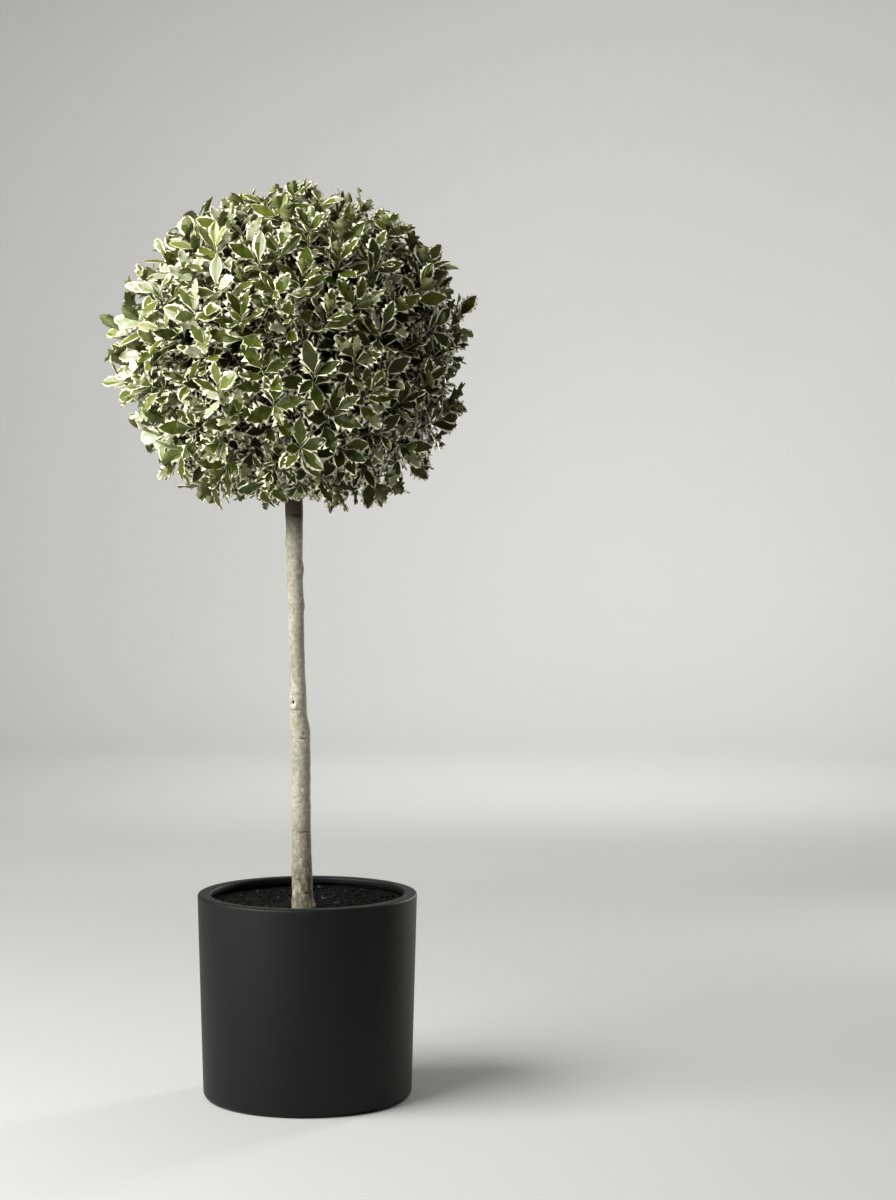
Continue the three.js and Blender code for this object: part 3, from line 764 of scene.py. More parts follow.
class TOPIARY_OT_stem(bpy.types.Operator):
    """Draw the stem up ring by ring from its foot, then raise its nubs and bark"""

    bl_idname = "topiary.stem"
    bl_label = "Stem"

    sides = 40
    rings = 150
    skin_share = 0.6
    # Scales of the bark's lumps, and of its wrinkles across and along the stem
    lump_scale = 45
    wrinkle_scales = (60, 330)
    wrinkle_share = 0.8
    shade = (0.14, 0.115, 0.080)
    mottle = (0.285, 0.278, 0.200)
    # Pale and dark marks, at the knot first: middle, reach along each axis, colour
    marks = [
        ((-0.0250, -0.0178, 0.7705), (0.0060, 0.0070, 0.0085), (0.56, 0.55, 0.47)),
        (KNOT_PLACE, (0.0036, 0.0060, 0.0048), (0.012, 0.010, 0.007)),
        ((-0.0225, -0.0170, 0.7610), (0.0170, 0.0100, 0.0016), (0.17, 0.145, 0.100)),
        ((-0.0070, -0.0150, 0.7140), (0.0030, 0.0120, 0.0060), (0.20, 0.175, 0.125)),
        ((-0.0085, -0.0150, 0.7043), (0.0078, 0.0120, 0.0018), (0.085, 0.062, 0.040)),
        ((-0.0062, -0.0150, 0.5200), (0.0150, 0.0120, 0.0024), (0.13, 0.110, 0.070)),
        ((-0.0080, -0.0190, 0.6020), (0.0045, 0.0080, 0.0055), (0.52, 0.50, 0.41)),
        ((-0.0170, -0.0190, 0.4285), (0.0075, 0.0100, 0.0020), (0.070, 0.058, 0.036)),
        ((-0.0010, -0.0190, 0.4010), (0.0060, 0.0120, 0.0030), (0.035, 0.028, 0.018)),
        ((-0.0180, -0.0150, 1.1400), (0.0150, 0.0180, 0.0050), (0.026, 0.019, 0.012)),
    ]

    def execute(self, context):
        settings = context.scene.topiary_stem
        here, radius = stem_centre(STEM_FOOT), eased_between(STEM_DIAMETER, STEM_FOOT) / 2
        stem = begin_piece(
            "stem_bark", bpy.ops.mesh.primitive_circle_add, vertices=self.sides, radius=radius,
            fill_type="NGON", location=here)
        bpy.ops.mesh.select_all(action="SELECT")
        for ring in range(1, self.rings + 1):
            height = STEM_FOOT + (STEM_TOP - STEM_FOOT) * ring / self.rings
            there, next_radius = stem_centre(height), eased_between(STEM_DIAMETER, height) / 2
            bpy.ops.mesh.extrude_region_move(TRANSFORM_OT_translate={"value": there - here})
            widen(next_radius / radius, there)
            here, radius = there, next_radius
        bpy.ops.mesh.select_all(action="SELECT")
        bpy.ops.mesh.normals_make_consistent(inside=False)
        bpy.ops.object.mode_set(mode="OBJECT")
        finer = stem.modifiers.new("finer", "SUBSURF")
        finer.subdivision_type = "SIMPLE"
        finer.levels = finer.render_levels = 1
        bpy.ops.object.modifier_apply(modifier=finer.name)
        self.raise_bark(stem, settings.relief)
        stem.data.shade_smooth()
        bark = bark_finish("stem_bark", settings.colour, self.shade, self.mottle, self.marks)
        finish_piece(stem, "bark", bark, "stem")
        return {"FINISHED"}

    def raise_bark(self, stem, relief):
        across, along = self.wrinkle_scales
        for vertex in stem.data.vertices:
            place = vertex.co
            middle = stem_centre(clamp(place.z, STEM_FOOT, STEM_TOP))
            spoke = Vector((place.x - middle.x, place.y - middle.y, 0))
            # The points inside the end caps stay
            if spoke.length < self.skin_share * eased_between(STEM_DIAMETER, place.z) / 2:
                continue
            bearing = math.atan2(spoke.y, spoke.x)
            radius = stem_radius(place.z, bearing) + knot_hollow(place.z, bearing)
            wrinkled = Vector((place.x * across, place.y * across, place.z * along))
            radius += relief * (
                noise.noise(place * self.lump_scale) + self.wrinkle_share * noise.noise(wrinkled))
            vertex.co = middle + spoke.normalized() * radius


def head_reach(direction):
    fullness = TOP_FULLNESS if direction.z > 0 else UNDERSIDE_FULLNESS
    half_height = HEAD_RISE if direction.z > 0 else HEAD_DROP
    across = math.hypot(direction.x, direction.y) / HEAD_RADIUS
    along = abs(direction.z) / half_height
    return (across ** fullness + along ** fullness) ** (-1 / fullness)


def head_point(direction, share):
    return HEAD_CENTRE + direction * (head_reach(direction) * share)


def share_of_reach(point):
    offset = point - HEAD_CENTRE
    distance = offset.length
    return distance / head_reach(offset / distance)


def clipped_share(direction):
    """How much of the reach the shears left in a direction."""
    share = 1 + SKIRT_SWELL * math.exp(-((direction.z - SKIRT_LEVEL) / SKIRT_SPREAD) ** 2)
    for middle, swell, spread in HEAD_SWELLS:
        share += swell * math.exp(-((direction - Vector(middle)).length / spread) ** 2)
    depth, scale = HEAD_UNEVENNESS
    return share + depth * noise.noise(direction * scale)


def near_stem(point, clearance):
    """Whether a point in the head's lower half is too near the stem's line."""
    trunk = stem_centre(clamp(point.z, STEM_FOOT, STEM_TOP))
    return math.hypot(point.x - trunk.x, point.y - trunk.y) < clearance and point.z < HEAD_CENTRE.z


def leader_centre(height):
    """The leader swings a little to one side on its way up."""
    foot, tip = stem_centre(STEM_TOP), head_point(UP, BOUGH_REACH)
    share = (height - foot.z) / (tip.z - foot.z)
    return foot.lerp(tip, share) + LEADER_SWAY * math.sin(math.pi * share)


class Mass:
    """One mass of foliage: its name, its bearing from the head's centre, and its bough's course"""

    def __init__(self, name, tier, place, bearing, polar_angle):
        self.name = name
        self.tier = tier
        self.place = place
        self.bearing = bearing
        self.direction = bearing_vector(bearing, polar_angle)
        self.tips = []

    def bough_diameters(self):
        return LEADER_DIAMETERS if self.tier == "top" else BOUGH_DIAMETERS

    def bough_course(self, steps):
        tip = head_point(self.direction, BOUGH_REACH)
        if self.tier == "top":
            foot = STEM_TOP + SEAT_GAP
            return [leader_centre(foot + (tip.z - foot) * step / steps) for step in range(steps + 1)]
        step_up = (2 * self.place) % RING_COUNT
        if self.tier == "lower":
            foot = stem_centre(LOWER_BOUGH_START + LOWER_BOUGH_STEP * step_up)
        else:
            foot = leader_centre(UPPER_BOUGH_START + UPPER_BOUGH_STEP * step_up)
        outward = bearing_vector(self.bearing, 90)
        bend = foot + UP * BOUGH_UPRIGHT + outward * (BOUGH_BEND_SHARE * (tip - foot).dot(outward))
        return bent_course(foot, bend, tip, steps)


def make_masses():
    masses = [Mass("top", "top", 0, FIRST_BEARING, 0)]
    for tier, offset, polar_angle in [
            ("upper", 0.0, RING_POLAR_ANGLE), ("lower", 0.5, 180 - RING_POLAR_ANGLE)]:
        for place in range(RING_COUNT):
            bearing = FIRST_BEARING + 360 * (place + offset) / RING_COUNT
            masses.append(Mass(f"{tier}_{place + 1}", tier, place, bearing, polar_angle))
    return masses


class TOPIARY_OT_boughs(bpy.types.Operator):
    """Run each bough as a tapered curve along its course, then make it a mesh with bark"""

    bl_idname = "topiary.boughs"
    bl_label = "Boughs"

    course_steps = 26
    lump_scale = 110
    # Boughs are in the head's shade, painted as this share of the stem's colour, with their flecks and
    # mottling darkened alike
    shaded_share = 0.45
    shade = (0.07, 0.055, 0.04)
    mottle = (0.13, 0.12, 0.075)

    def execute(self, context):
        settings = context.scene.topiary_stem
        colour = [self.shaded_share * part for part in settings.colour]
        bark = bark_finish("bough_bark", colour, self.shade, self.mottle, marks=[])
        for mass in make_masses():
            node = "leader" if mass.tier == "top" else f"bough_{mass.name}"
            self.run_bough(node, mass, bark, settings.relief)
        return {"FINISHED"}

    def run_bough(self, node, mass, bark, relief):
        course = mass.bough_course(self.course_steps)
        thick, thin = mass.bough_diameters()
        deselect_all()
        bpy.ops.curve.primitive_nurbs_path_add()
        path = bpy.context.view_layer.objects.active
        path.data.splines.clear()
        spline = path.data.splines.new("POLY")
        spline.points.add(self.course_steps)
        for step, (point, place) in enumerate(zip(spline.points, course)):
            share = step / self.course_steps
            point.co = (*place, 1)
            point.radius = (thick + (thin - thick) * share) / 2
        path.location = (0, 0, 0)
        path.data.bevel_depth = 1.0
        path.data.bevel_resolution = 4
        path.data.use_fill_caps = True
        bpy.ops.object.convert(target="MESH")
        bough = active_piece(f"{node}_bark")
        for vertex in bough.data.vertices:
            vertex.co += vertex.normal * relief * noise.noise(vertex.co * self.lump_scale)
        bough.data.shade_smooth()
        finish_piece(bough, "bark", bark, node)


# Leaves

GREEN, PATCH, MARGIN, UNDER = range(4)

# Stations from a leaf's foot to its tip; from the first tooth on, teeth and hollows take turns
LEAF_STATIONS = [0.0, 0.13, 0.27, 0.41, 0.47, 0.58, 0.64, 0.75, 0.81, 0.90, 1.0]
FIRST_TOOTH = 3
STALK_SHARE = 0.06
STALK_HALF_WIDTH = 0.010
TIP_HALF_WIDTH = 0.022
LEAF_DEPTH = 0.020
# From here on the green narrows to a pale tip, and nowhere does it come nearer to the edge than this share
PALE_TIP_START = 0.6
GREEN_LIMIT = 0.88
# How far a tooth stands out and lies ahead, and how far a hollow goes in, for the spiniest leaves
TOOTH_SPREAD = 0.33
HOLLOW_SPREAD = -0.19
TOOTH_AHEAD = 0.030
TOOTH_LIFT = 0.08
# How far along a leaf is widest and how full its outline is, and what spines add to each
LEAF_CREST = (0.60, -0.08)
LEAF_FULLNESS = (0.84, 0.14)
# What chance gives a leaf: the droop of its tip, its twist, how it folds up from the midrib, and the
# unevenness of its edge and of the green's border
LEAF_DROOP = (-0.04, 0.20)
LEAF_TWIST = (-0.34, 0.34)
LEAF_FOLD = (0.10, 0.55)
EDGE_SCATTER = (-0.04, 0.04)
BORDER_SCATTER = (0.86, 1.10)
# The border's share of a tooth's lift, how the blade arches across, and how much of all this it keeps
BORDER_LIFT = 0.4
LEAF_ARCH = 0.45
LEAF_RISE = 0.45
# Plain leaves: stations, how spiny their outline is, the green's share of it, their fold and droop
PLAIN_STATIONS = (0.0, 0.24, 0.46, 0.68, 0.86, 1.0)
PLAIN_SPINY = 0.5
PLAIN_GREEN = (0.66, 0.85)
PLAIN_FOLD = 0.12
PLAIN_DROOP = 0.08


def half_width(along, spiny):
    """Half of a leaf's width, for a leaf 1 long and 1 wide, behind a short stalk.

    Smooth leaves are fullest towards a blunt tip; spiny ones are fullest at the middle and pointed.
    """
    blade = (along - STALK_SHARE) / (1 - STALK_SHARE)
    if blade <= 0 or blade >= 1:
        return STALK_HALF_WIDTH
    crest, fullness = [smooth + more * spiny for smooth, more in (LEAF_CREST, LEAF_FULLNESS)]
    bend = math.log(0.5) / math.log(crest)
    return max(TIP_HALF_WIDTH, 0.5 * math.sin(math.pi * blade ** bend) ** fullness)


def leaf_blank(chance, spiny, green_share, patchiness, pale_tip):
    """One leaf, 1 long and 1 wide, foot at the origin, tip along +Y and upper side up.

    Across it are the cream margin, the green, the midrib, the green and the margin again. Returns
    points, faces, each face's zone and which points lie on the midrib.
    """
    wave = chance.choice((-1, 1))
    droop, twist, fold = [chance.uniform(*limits) for limits in (LEAF_DROOP, LEAF_TWIST, LEAF_FOLD)]
    rows = []
    for station, along in enumerate(LEAF_STATIONS):
        half = half_width(along, spiny)
        toothed = FIRST_TOOTH <= station < len(LEAF_STATIONS) - 1
        peak = (station - FIRST_TOOTH) % 2 == 0
        spread = spiny * (TOOTH_SPREAD if peak else HOLLOW_SPREAD) if toothed else 0.0
        ahead = spiny * TOOTH_AHEAD if toothed and peak else 0.0
        sides = []
        for side in (-1, 1):
            edge = half * (1 + spread + chance.uniform(*EDGE_SCATTER))
            share = green_share * chance.uniform(*BORDER_SCATTER)
            if along > PALE_TIP_START:
                share *= 1 - pale_tip * (along - PALE_TIP_START) / (1 - PALE_TIP_START)
            border = min(edge * GREEN_LIMIT, half * share)
            lift = spiny * TOOTH_LIFT * wave * side * (1 if station % 4 < 2 else -1) if toothed else 0.0
            sides.append([(edge, lift, ahead), (border, lift * BORDER_LIFT, 0.0)])
        left, right = sides
        line = [(-x, z, y) for x, z, y in left] + [(0.0, 0.0, 0.0)]
        line += [(x, z, y) for x, z, y in reversed(right)]
        turn = twist * along
        row = []
        for x, lift, forward in line:
            rise = lift + fold * abs(x) - LEAF_ARCH * x * x + x * math.sin(turn)
            row.append((x * math.cos(turn), along + forward, LEAF_RISE * rise - droop * along * along))
        rows.append(row)
    return stitch_leaf(rows, patchiness, chance)


def stitch_leaf(rows, patchiness, chance):
    """Joins rows of points into an upper side in bands and an underside a little below it.

    A patchy leaf has a grey or pale streak along one or both halves of its green.
    """
    bands = [MARGIN, GREEN, GREEN, MARGIN]
    across = len(rows[0])
    middle = across // 2
    points = [point for row in rows for point in row]
    creased = [column == middle for row in rows for column in range(across)]
    faces, zones = [], []
    streaks = {}
    for band, zone in enumerate(bands):
        if zone == GREEN and chance.random() < patchiness:
            start = chance.randrange(1, len(rows) - 4)
            streaks[band] = range(start, start + chance.randrange(3, 7))
    for station in range(len(rows) - 1):
        for band, zone in enumerate(bands):
            here = station * across + band
            faces.append((here, here + 1, here + 1 + across, here + across))
            zones.append(PATCH if station in streaks.get(band, ()) else zone)
    first_keel = len(points)
    for row in rows:
        points.append((row[middle][0], row[middle][1], row[middle][2] - LEAF_DEPTH))
        creased.append(True)
    for station in range(len(rows) - 1):
        left, right = station * across, station * across + across - 1
        keel = first_keel + station
        faces += [(left, left + across, keel + 1, keel), (keel, keel + 1, right + across, right)]
        zones += [UNDER, UNDER]
    for row, turned in ((0, False), (len(rows) - 1, True)):
        left, keel = row * across, first_keel + row
        for end in [(left, keel, left + 2, left + 1), (keel, left + 4, left + 3, left + 2)]:
            faces.append(end[::-1] if turned else end)
            zones.append(UNDER)
    return np.array(points), np.array(faces), np.array(zones), np.array(creased)


def plain_leaf_blank(chance):
    """A leaf for the shade inside the head: the same outline with fewer stations."""
    rows = []
    for along in PLAIN_STATIONS:
        half = half_width(along, PLAIN_SPINY)
        border = half * chance.uniform(*PLAIN_GREEN)
        rows.append([(x, along, PLAIN_FOLD * abs(x) - PLAIN_DROOP * along * along)
                     for x in (-half, -border, 0, border, half)])
    return stitch_leaf(rows, 0.0, chance)


# The leaf shapes that are dealt out, from smooth to spiny: how spiny, the green's share of the width,
# how often it is patchy, and how much the green narrows to a pale tip
LEAF_SHAPES = [
    (0.0, 0.76, 0.25, 0.0), (0.1, 0.72, 0.45, 0.0), (0.4, 0.76, 0.30, 0.1), (0.3, 0.70, 0.50, 0.0),
    (0.7, 0.79, 0.30, 0.0), (0.8, 0.76, 0.45, 0.1), (0.9, 0.81, 0.25, 0.1), (1.0, 0.78, 0.40, 0.1),
    (1.1, 0.88, 0.20, 0.0), (1.3, 0.88, 0.10, 0.1), (1.4, 0.87, 0.15, 0.1), (1.2, 0.85, 0.25, 0.1),
    (1.3, 0.88, 0.10, 0.0), (1.0, 0.80, 0.35, 0.2),
]
PLAIN_SHAPES = 4

# Leaf colours with their roughness, dealt out by spray: each kind names the colour of its green,
# patches, margin and back. Greens and backs paint light and shade: lighter on lit sprays, darker on
# shaded ones, a pale green as painted sheen, and near-black as painted shade deep in the head
LEAF_COLOURS = [
    ("leaf_deep", (0.030, 0.037, 0.005), 0.38),
    ("leaf_green", (0.070, 0.090, 0.010), 0.35),
    ("leaf_fresh", (0.126, 0.155, 0.018), 0.30),
    ("leaf_greyed", (0.240, 0.260, 0.120), 0.32),
    ("leaf_cream", (0.930, 0.900, 0.650), 0.36),
    ("leaf_butter", (0.810, 0.800, 0.470), 0.38),
    ("leaf_back", (0.110, 0.128, 0.034), 0.60),
    ("leaf_young", (0.230, 0.265, 0.070), 0.36),
    ("leaf_shade", (0.020, 0.020, 0.008), 0.50),
    ("leaf_pale", (0.385, 0.420, 0.270), 0.30),
    ("leaf_light_back", (0.165, 0.195, 0.050), 0.55),
]
(DEEP, MIDDLE, LIT_GREEN, GREYED, CREAM, BUTTER, BACK, YOUNG, SHADE, PALE,
 LIT_BACK) = range(len(LEAF_COLOURS))
# Leaves of the darkest colours are duller than the others
DARK_LEVEL = 0.11
DARK_GLOSS = 0.16
LIGHT_GLOSS = 0.62
# The lit kinds take pale patches as painted sheen, the middle and deep kinds the holly's own grey-green
# patches
LEAF_KINDS = {
    "deep": [DEEP, GREYED, CREAM, BACK],
    "middle": [MIDDLE, GREYED, CREAM, BACK],
    "fresh": [LIT_GREEN, PALE, CREAM, LIT_BACK],
    "sunny": [LIT_GREEN, PALE, CREAM, LIT_BACK],
    "young": [YOUNG, LIT_GREEN, BUTTER, LIT_BACK],
    "pale": [PALE, CREAM, CREAM, LIT_BACK],
    "shade": [SHADE, SHADE, GREYED, SHADE],
}


class Foliage:
    """Collects the leaves and twigs of one mass, as arrays for its two meshes"""

    rod_sides = 5

    def __init__(self, blanks):
        self.blanks = blanks
        self.leaves = {}
        self.rods = []

    def add_leaf(self, blank, foot, along, face, length, width, kind):
        side = along.cross(face)
        axes = np.array([side * width, along * length, face * length])
        self.leaves.setdefault((blank, kind), []).append((np.array(foot), axes))

    def add_rod(self, start, end, start_radius, end_radius, young):
        self.rods.append((start, end, start_radius, end_radius, young))

    def leaf_arrays(self):
        points, faces, slots, creased = [], [], [], []
        offset = 0
        for (blank, kind), placed in sorted(self.leaves.items()):
            shape, blank_faces, zones, on_midrib = self.blanks[blank]
            feet = np.array([foot for foot, axes in placed])
            axes = np.array([axes for foot, axes in placed])
            spread = np.einsum("vk,nkj->nvj", shape, axes) + feet[:, None, :]
            count = len(placed)
            steps = offset + np.arange(count)[:, None, None] * len(shape)
            points.append(spread.reshape(-1, 3))
            faces.append((blank_faces[None] + steps).reshape(-1, 4))
            slots.append(np.tile(np.array(LEAF_KINDS[kind])[zones], count))
            creased.append(np.tile(on_midrib, count))
            offset += count * len(shape)
        return [np.concatenate(parts) for parts in (points, faces, slots, creased)]

    def rod_arrays(self):
        sides = self.rod_sides
        points, triangles, slots = [], [], []
        for start, end, start_radius, end_radius, young in self.rods:
            along = (end - start).normalized()
            first = crosswise(along)
            second = along.cross(first)
            base = len(points)
            for middle, radius in ((start, start_radius), (end, end_radius)):
                for side in range(sides):
                    angle = 2 * math.pi * side / sides
                    points.append(middle + (first * math.cos(angle) + second * math.sin(angle)) * radius)
            points += [start, end]
            low_cap, high_cap = base + 2 * sides, base + 2 * sides + 1
            for side in range(sides):
                low, low_next = base + side, base + (side + 1) % sides
                high, high_next = low + sides, low_next + sides
                triangles += [(low, low_next, high_next), (low, high_next, high),
                              (low_next, low, low_cap), (high, high_next, high_cap)]
                slots += [1 if young else 0] * 4
        return np.array([tuple(point) for point in points]), np.array(triangles), np.array(slots)


class TOPIARY_OT_foliage(bpy.types.Operator):
    """Grow twigs from the boughs by the source's rule, and set leaves round their ends"""

    bl_idname = "topiary.foliage"
    bl_label = "Foliage"

    course_steps = 20
    first_fork = 0.02
    twig_end_radius = 0.0014
    twig_thickening = 0.32
    twig_taper = 0.25
    twig_steps = 4
    green_steps = 2
    fork_share = 0.30
    fork_taper = 1.05
    # Twigs turn outwards and, from a level in the head's underside on, more and more upwards
    outward_pull = 0.62
    upward_pull = 0.62
    upward_from = -0.85
    upward_over = 0.6
    twig_scatter = 0.16
    # How far along to its tip a twig bends, how much of it is straight there, and how much at its start
    bend_share = 0.85
    straight_end = 0.35
    straight_start = 0.10
    # Where each layer's tips are, as a share of the reach, and their spread
    layer_depths = {"outer": (0.865, 0.045), "middle": (0.745, 0.050), "inner": (0.600, 0.070)}
    tip_scatter = 0.030
    tip_clearance = 0.045
    leaf_clearance = 0.034
    stray_reach = 0.95
    stray_limit = 1.085
    clipped_limits = (0.960, 1.035)
    leaf_counts = {"outer": (7, 8, 9), "middle": (6, 7), "stray": (4, 5)}
    spray_length = 0.052
    tip_gap = 0.001
    spray_sizes = (0.88, 1.08)
    leaf_sizes = (0.90, 1.06)
    # Share of its length that the youngest leaf has, what age adds, and how soon
    length_growth = (0.72, 0.28, 0.4)
    width_shares = (0.82, 1.12)
    turn_scatter = 0.25
    # Tilt of the youngest leaf off its twig, how much further the oldest leans, how soon, and the scatter
    leaf_tilts = (16, 62, 0.7, 9)
    # A leaf that would pass the clipped surface leans out and is shortened, up to four times
    trials = 4
    trial_tilt = math.radians(13)
    trial_shortening = 0.94
    # How far leaves turn to the light, which comes from the open, less from straight up or down, and
    # from one side; a leaf that would turn nearly edge on stays as it is
    light_turning = 0.60
    light_rise = 0.6
    light_side = (-0.12, -0.40, 0.24)
    least_turned = 0.15
    face_scatter = 0.34
    # Light on a spray, painted into its leaves' colours: at the head's middle, then what up, right and
    # both together add; its scatter, and what is lost below the surface; and the least light of each kind
    light_terms = (0.42, 0.32, -0.57, 0.40)
    light_scatter = 0.15
    middle_painted_shade = 0.45
    kind_levels = [("sunny", 0.95), ("fresh", 0.64), ("middle", 0.20)]
    kind_steadiness = 0.7
    # Share of the leaves on lit sprays that are pale, as painted sheen
    painted_sheen_share = 0.22
    # Some sprays have young leaves at the tip, up to this age
    young_share = 0.35
    young_age = 0.3
    # How spiny leaves of a kind can be; those of other kinds can be fully so
    kind_spininess = {"young": 0.30, "sunny": 0.30, "fresh": 0.55, "pale": 0.55}
    # Share of its width that a smooth leaf has, and what spines add
    spiny_width = (0.78, 0.22)
    # How much of a leaf's shape is its spray's and how much its own, and how far it leans to spiny ones
    shape_mix = (0.65, 0.35, 0.8)
    # Shaded leaves are few, plain, large and spread wide
    shade_leaf_count = 5
    shade_spacing = 0.008
    shade_tilts = (45, 85)
    shade_lengths = (0.95, 1.2)
    shade_widths = (1.0, 1.3)
    shade_kinds = ("shade", "shade", "deep")

    def execute(self, context):
        self.settings = context.scene.topiary_foliage
        self.chance = random.Random(LEAF_PLACE_SEED)
        shapes = random.Random(LEAF_SHAPE_SEED)
        blanks = [leaf_blank(shapes, *shape) for shape in LEAF_SHAPES]
        blanks += [plain_leaf_blank(shapes) for _ in range(PLAIN_SHAPES)]
        materials = []
        for name, colour, roughness in LEAF_COLOURS:
            gloss = DARK_GLOSS if max(colour) < DARK_LEVEL else LIGHT_GLOSS
            materials.append(new_material(name, roughness, gloss, colour)[0])
        barks = [new_material(name, roughness=0.65, colour=colour)[0] for name, colour in [
            ("twig_old", (0.105, 0.080, 0.048)), ("twig_young", (0.200, 0.250, 0.070))]]
        masses = make_masses()
        self.place_tips(masses)
        for mass in masses:
            foliage = Foliage(blanks)
            course = mass.bough_course(self.course_steps)
            end, along = course[-1], (course[-1] - course[-2]).normalized()
            radius = mass.bough_diameters()[1] / 2
            fork = end + along * self.first_fork
            foliage.add_rod(end, fork, radius, radius, False)
            self.grow_shoot(foliage, fork, mass.tips, along)
            points, faces, slots, creased = foliage.leaf_arrays()
            leaves = mesh_piece(f"leaves_{mass.name}", points, faces, slots, materials, creased)
            finish_piece(leaves, "foliage", None, f"foliage_{mass.name}")
            twigs = mesh_piece(f"twigs_{mass.name}", *foliage.rod_arrays(), barks)
            finish_piece(twigs, "bark", None, f"foliage_{mass.name}")
        return {"FINISHED"}

    def place_tips(self, masses):
        """Tips lie on spirals that cover the head evenly, near its surface and in two depths below."""
        counts = {"outer": self.settings.outer_sprays, "middle": self.settings.middle_sprays,
                  "inner": self.settings.inner_sprays}
        for turn_offset, (layer, (middle, spread)) in enumerate(self.layer_depths.items()):
            for index in range(counts[layer]):
                height = 1 - (2 * index + 1) / counts[layer]
                across = math.sqrt(1 - height * height)
                turn = GOLDEN_ANGLE * index + turn_offset
                direction = Vector((across * math.cos(turn), across * math.sin(turn), height))
                direction += scatter(self.chance, self.tip_scatter)
                direction.normalize()
                share = clipped_share(direction) * (middle + spread * self.chance.uniform(-1, 1))
                tip = head_point(direction, share)
                if not near_stem(tip, self.tip_clearance):
                    self.nearest_mass(masses, direction).tips.append((tip, layer))
        for stray in STRAY_DIRECTIONS:
            direction = Vector(stray).normalized()
            tip = head_point(direction, self.stray_reach)
            self.nearest_mass(masses, direction).tips.append((tip, "stray"))

    def nearest_mass(self, masses, direction):
        return max(masses, key=lambda mass: mass.direction.dot(direction))

    def grow_shoot(self, foliage, start, tips, before):
        """A shoot heads for the middle of the tips that it feeds, and forks into two halves of them."""
        if len(tips) == 1:
            self.grow_twig(foliage, start, *tips[0], before)
            return
        radius = self.twig_end_radius * len(tips) ** self.twig_thickening
        middle = sum((tip for tip, _ in tips), Vector()) / len(tips)
        fork = start.lerp(middle, self.fork_share)
        foliage.add_rod(start, fork, radius * self.fork_taper, radius, False)
        spread = [max(tip[axis] for tip, _ in tips) - min(tip[axis] for tip, _ in tips) for axis in range(3)]
        widest = spread.index(max(spread))
        ordered = sorted(tips, key=lambda entry: entry[0][widest])
        half = math.ceil(len(ordered) / 2)
        after = (fork - start).normalized() if (fork - start).length > 1e-6 else before
        self.grow_shoot(foliage, fork, ordered[:half], after)
        self.grow_shoot(foliage, fork, ordered[half:], after)

    def grow_twig(self, foliage, start, tip, layer, before):
        """A twig bends from its shoot's course towards the light, old wood first and then green."""
        length = (tip - start).length
        outward = (tip - HEAD_CENTRE).normalized()
        upright = self.upward_pull * clamp((outward.z - self.upward_from) / self.upward_over)
        axis = (outward * self.outward_pull + UP * upright).normalized()
        axis = (axis + scatter(self.chance, self.twig_scatter)).normalized()
        bend = start.lerp(tip - axis * (length * self.straight_end), self.bend_share)
        bend += before * (length * self.straight_start)
        steps = self.twig_steps
        course = bent_course(start, bend, tip, steps)
        radii = [self.twig_end_radius * (1 + self.twig_taper - self.twig_taper * step / steps)
                 for step in range(steps + 1)]
        for step in range(steps):
            green = step >= steps - self.green_steps and layer == "outer"
            foliage.add_rod(course[step], course[step + 1], radii[step], radii[step + 1], green)
        if layer == "inner":
            self.set_shade_leaves(foliage, tip, axis)
        else:
            self.set_leaves(foliage, tip, axis, layer)

    def choose_kind(self, place, layer):
        """Painted light: lighter greens left and high, where the light comes from, painted shade low and
        right.
        """
        up, right = (place.z - HEAD_CENTRE.z) / HEAD_RISE, (place.x - HEAD_CENTRE.x) / HEAD_RADIUS
        start, for_up, for_right, for_both = self.light_terms
        light = start + for_up * up + for_right * right + for_both * up * right
        light += self.chance.gauss(0, self.light_scatter)
        # The middle layer's leaves are painted darker, as shade below the surface
        if layer == "middle":
            light -= self.middle_painted_shade
        for kind, least in self.kind_levels:
            if light > least:
                return kind
        return "deep"

    def set_leaves(self, foliage, tip, axis, layer):
        """Sets a spray's leaves in a spiral: the oldest lowest, largest and most spread."""
        chance, grown = self.chance, self.settings.leaf_length
        across = crosswise(axis)
        count = chance.choice(self.leaf_counts[layer])
        first_turn = chance.uniform(0, 2 * math.pi)
        limit = self.stray_limit if layer == "stray" else chance.uniform(*self.clipped_limits)
        outward = (tip - HEAD_CENTRE).normalized()
        limit *= clipped_share(outward)
        spray_shape = chance.random()
        size = chance.uniform(*self.spray_sizes)
        spray_kind = self.choose_kind(tip, layer)
        young_tip = spray_kind in ("fresh", "sunny") and chance.random() < self.young_share
        least_tilt, more_tilt, tilt_haste, tilt_scatter = self.leaf_tilts
        youngest, growth, haste = self.length_growth
        shared, own, lean = self.shape_mix
        smooth_width, spiny_more = self.spiny_width
        for place in range(count):
            age = 1 - place / (count - 1)
            seat = tip - axis * (self.spray_length * age + self.tip_gap)
            tilt = math.radians(least_tilt + more_tilt * age ** tilt_haste + chance.gauss(0, tilt_scatter))
            turn = first_turn + GOLDEN_ANGLE * place + chance.gauss(0, self.turn_scatter)
            bearing = turned_about(across, axis, turn)
            length = grown * size * (youngest + growth * age ** haste) * chance.uniform(*self.leaf_sizes)
            for _ in range(self.trials):
                along = axis * math.cos(tilt) + bearing * math.sin(tilt)
                if share_of_reach(seat + along * length) <= limit:
                    break
                tilt += self.trial_tilt
                length *= self.trial_shortening
            else:
                continue
            if near_stem(seat + along * length, self.leaf_clearance):
                continue
            face = self.turned_to_light(axis * math.sin(tilt) - bearing * math.cos(tilt), along, outward)
            face = turned_about(face, along, chance.gauss(0, self.face_scatter))
            width = self.settings.leaf_width * (length / grown) * chance.uniform(*self.width_shares)
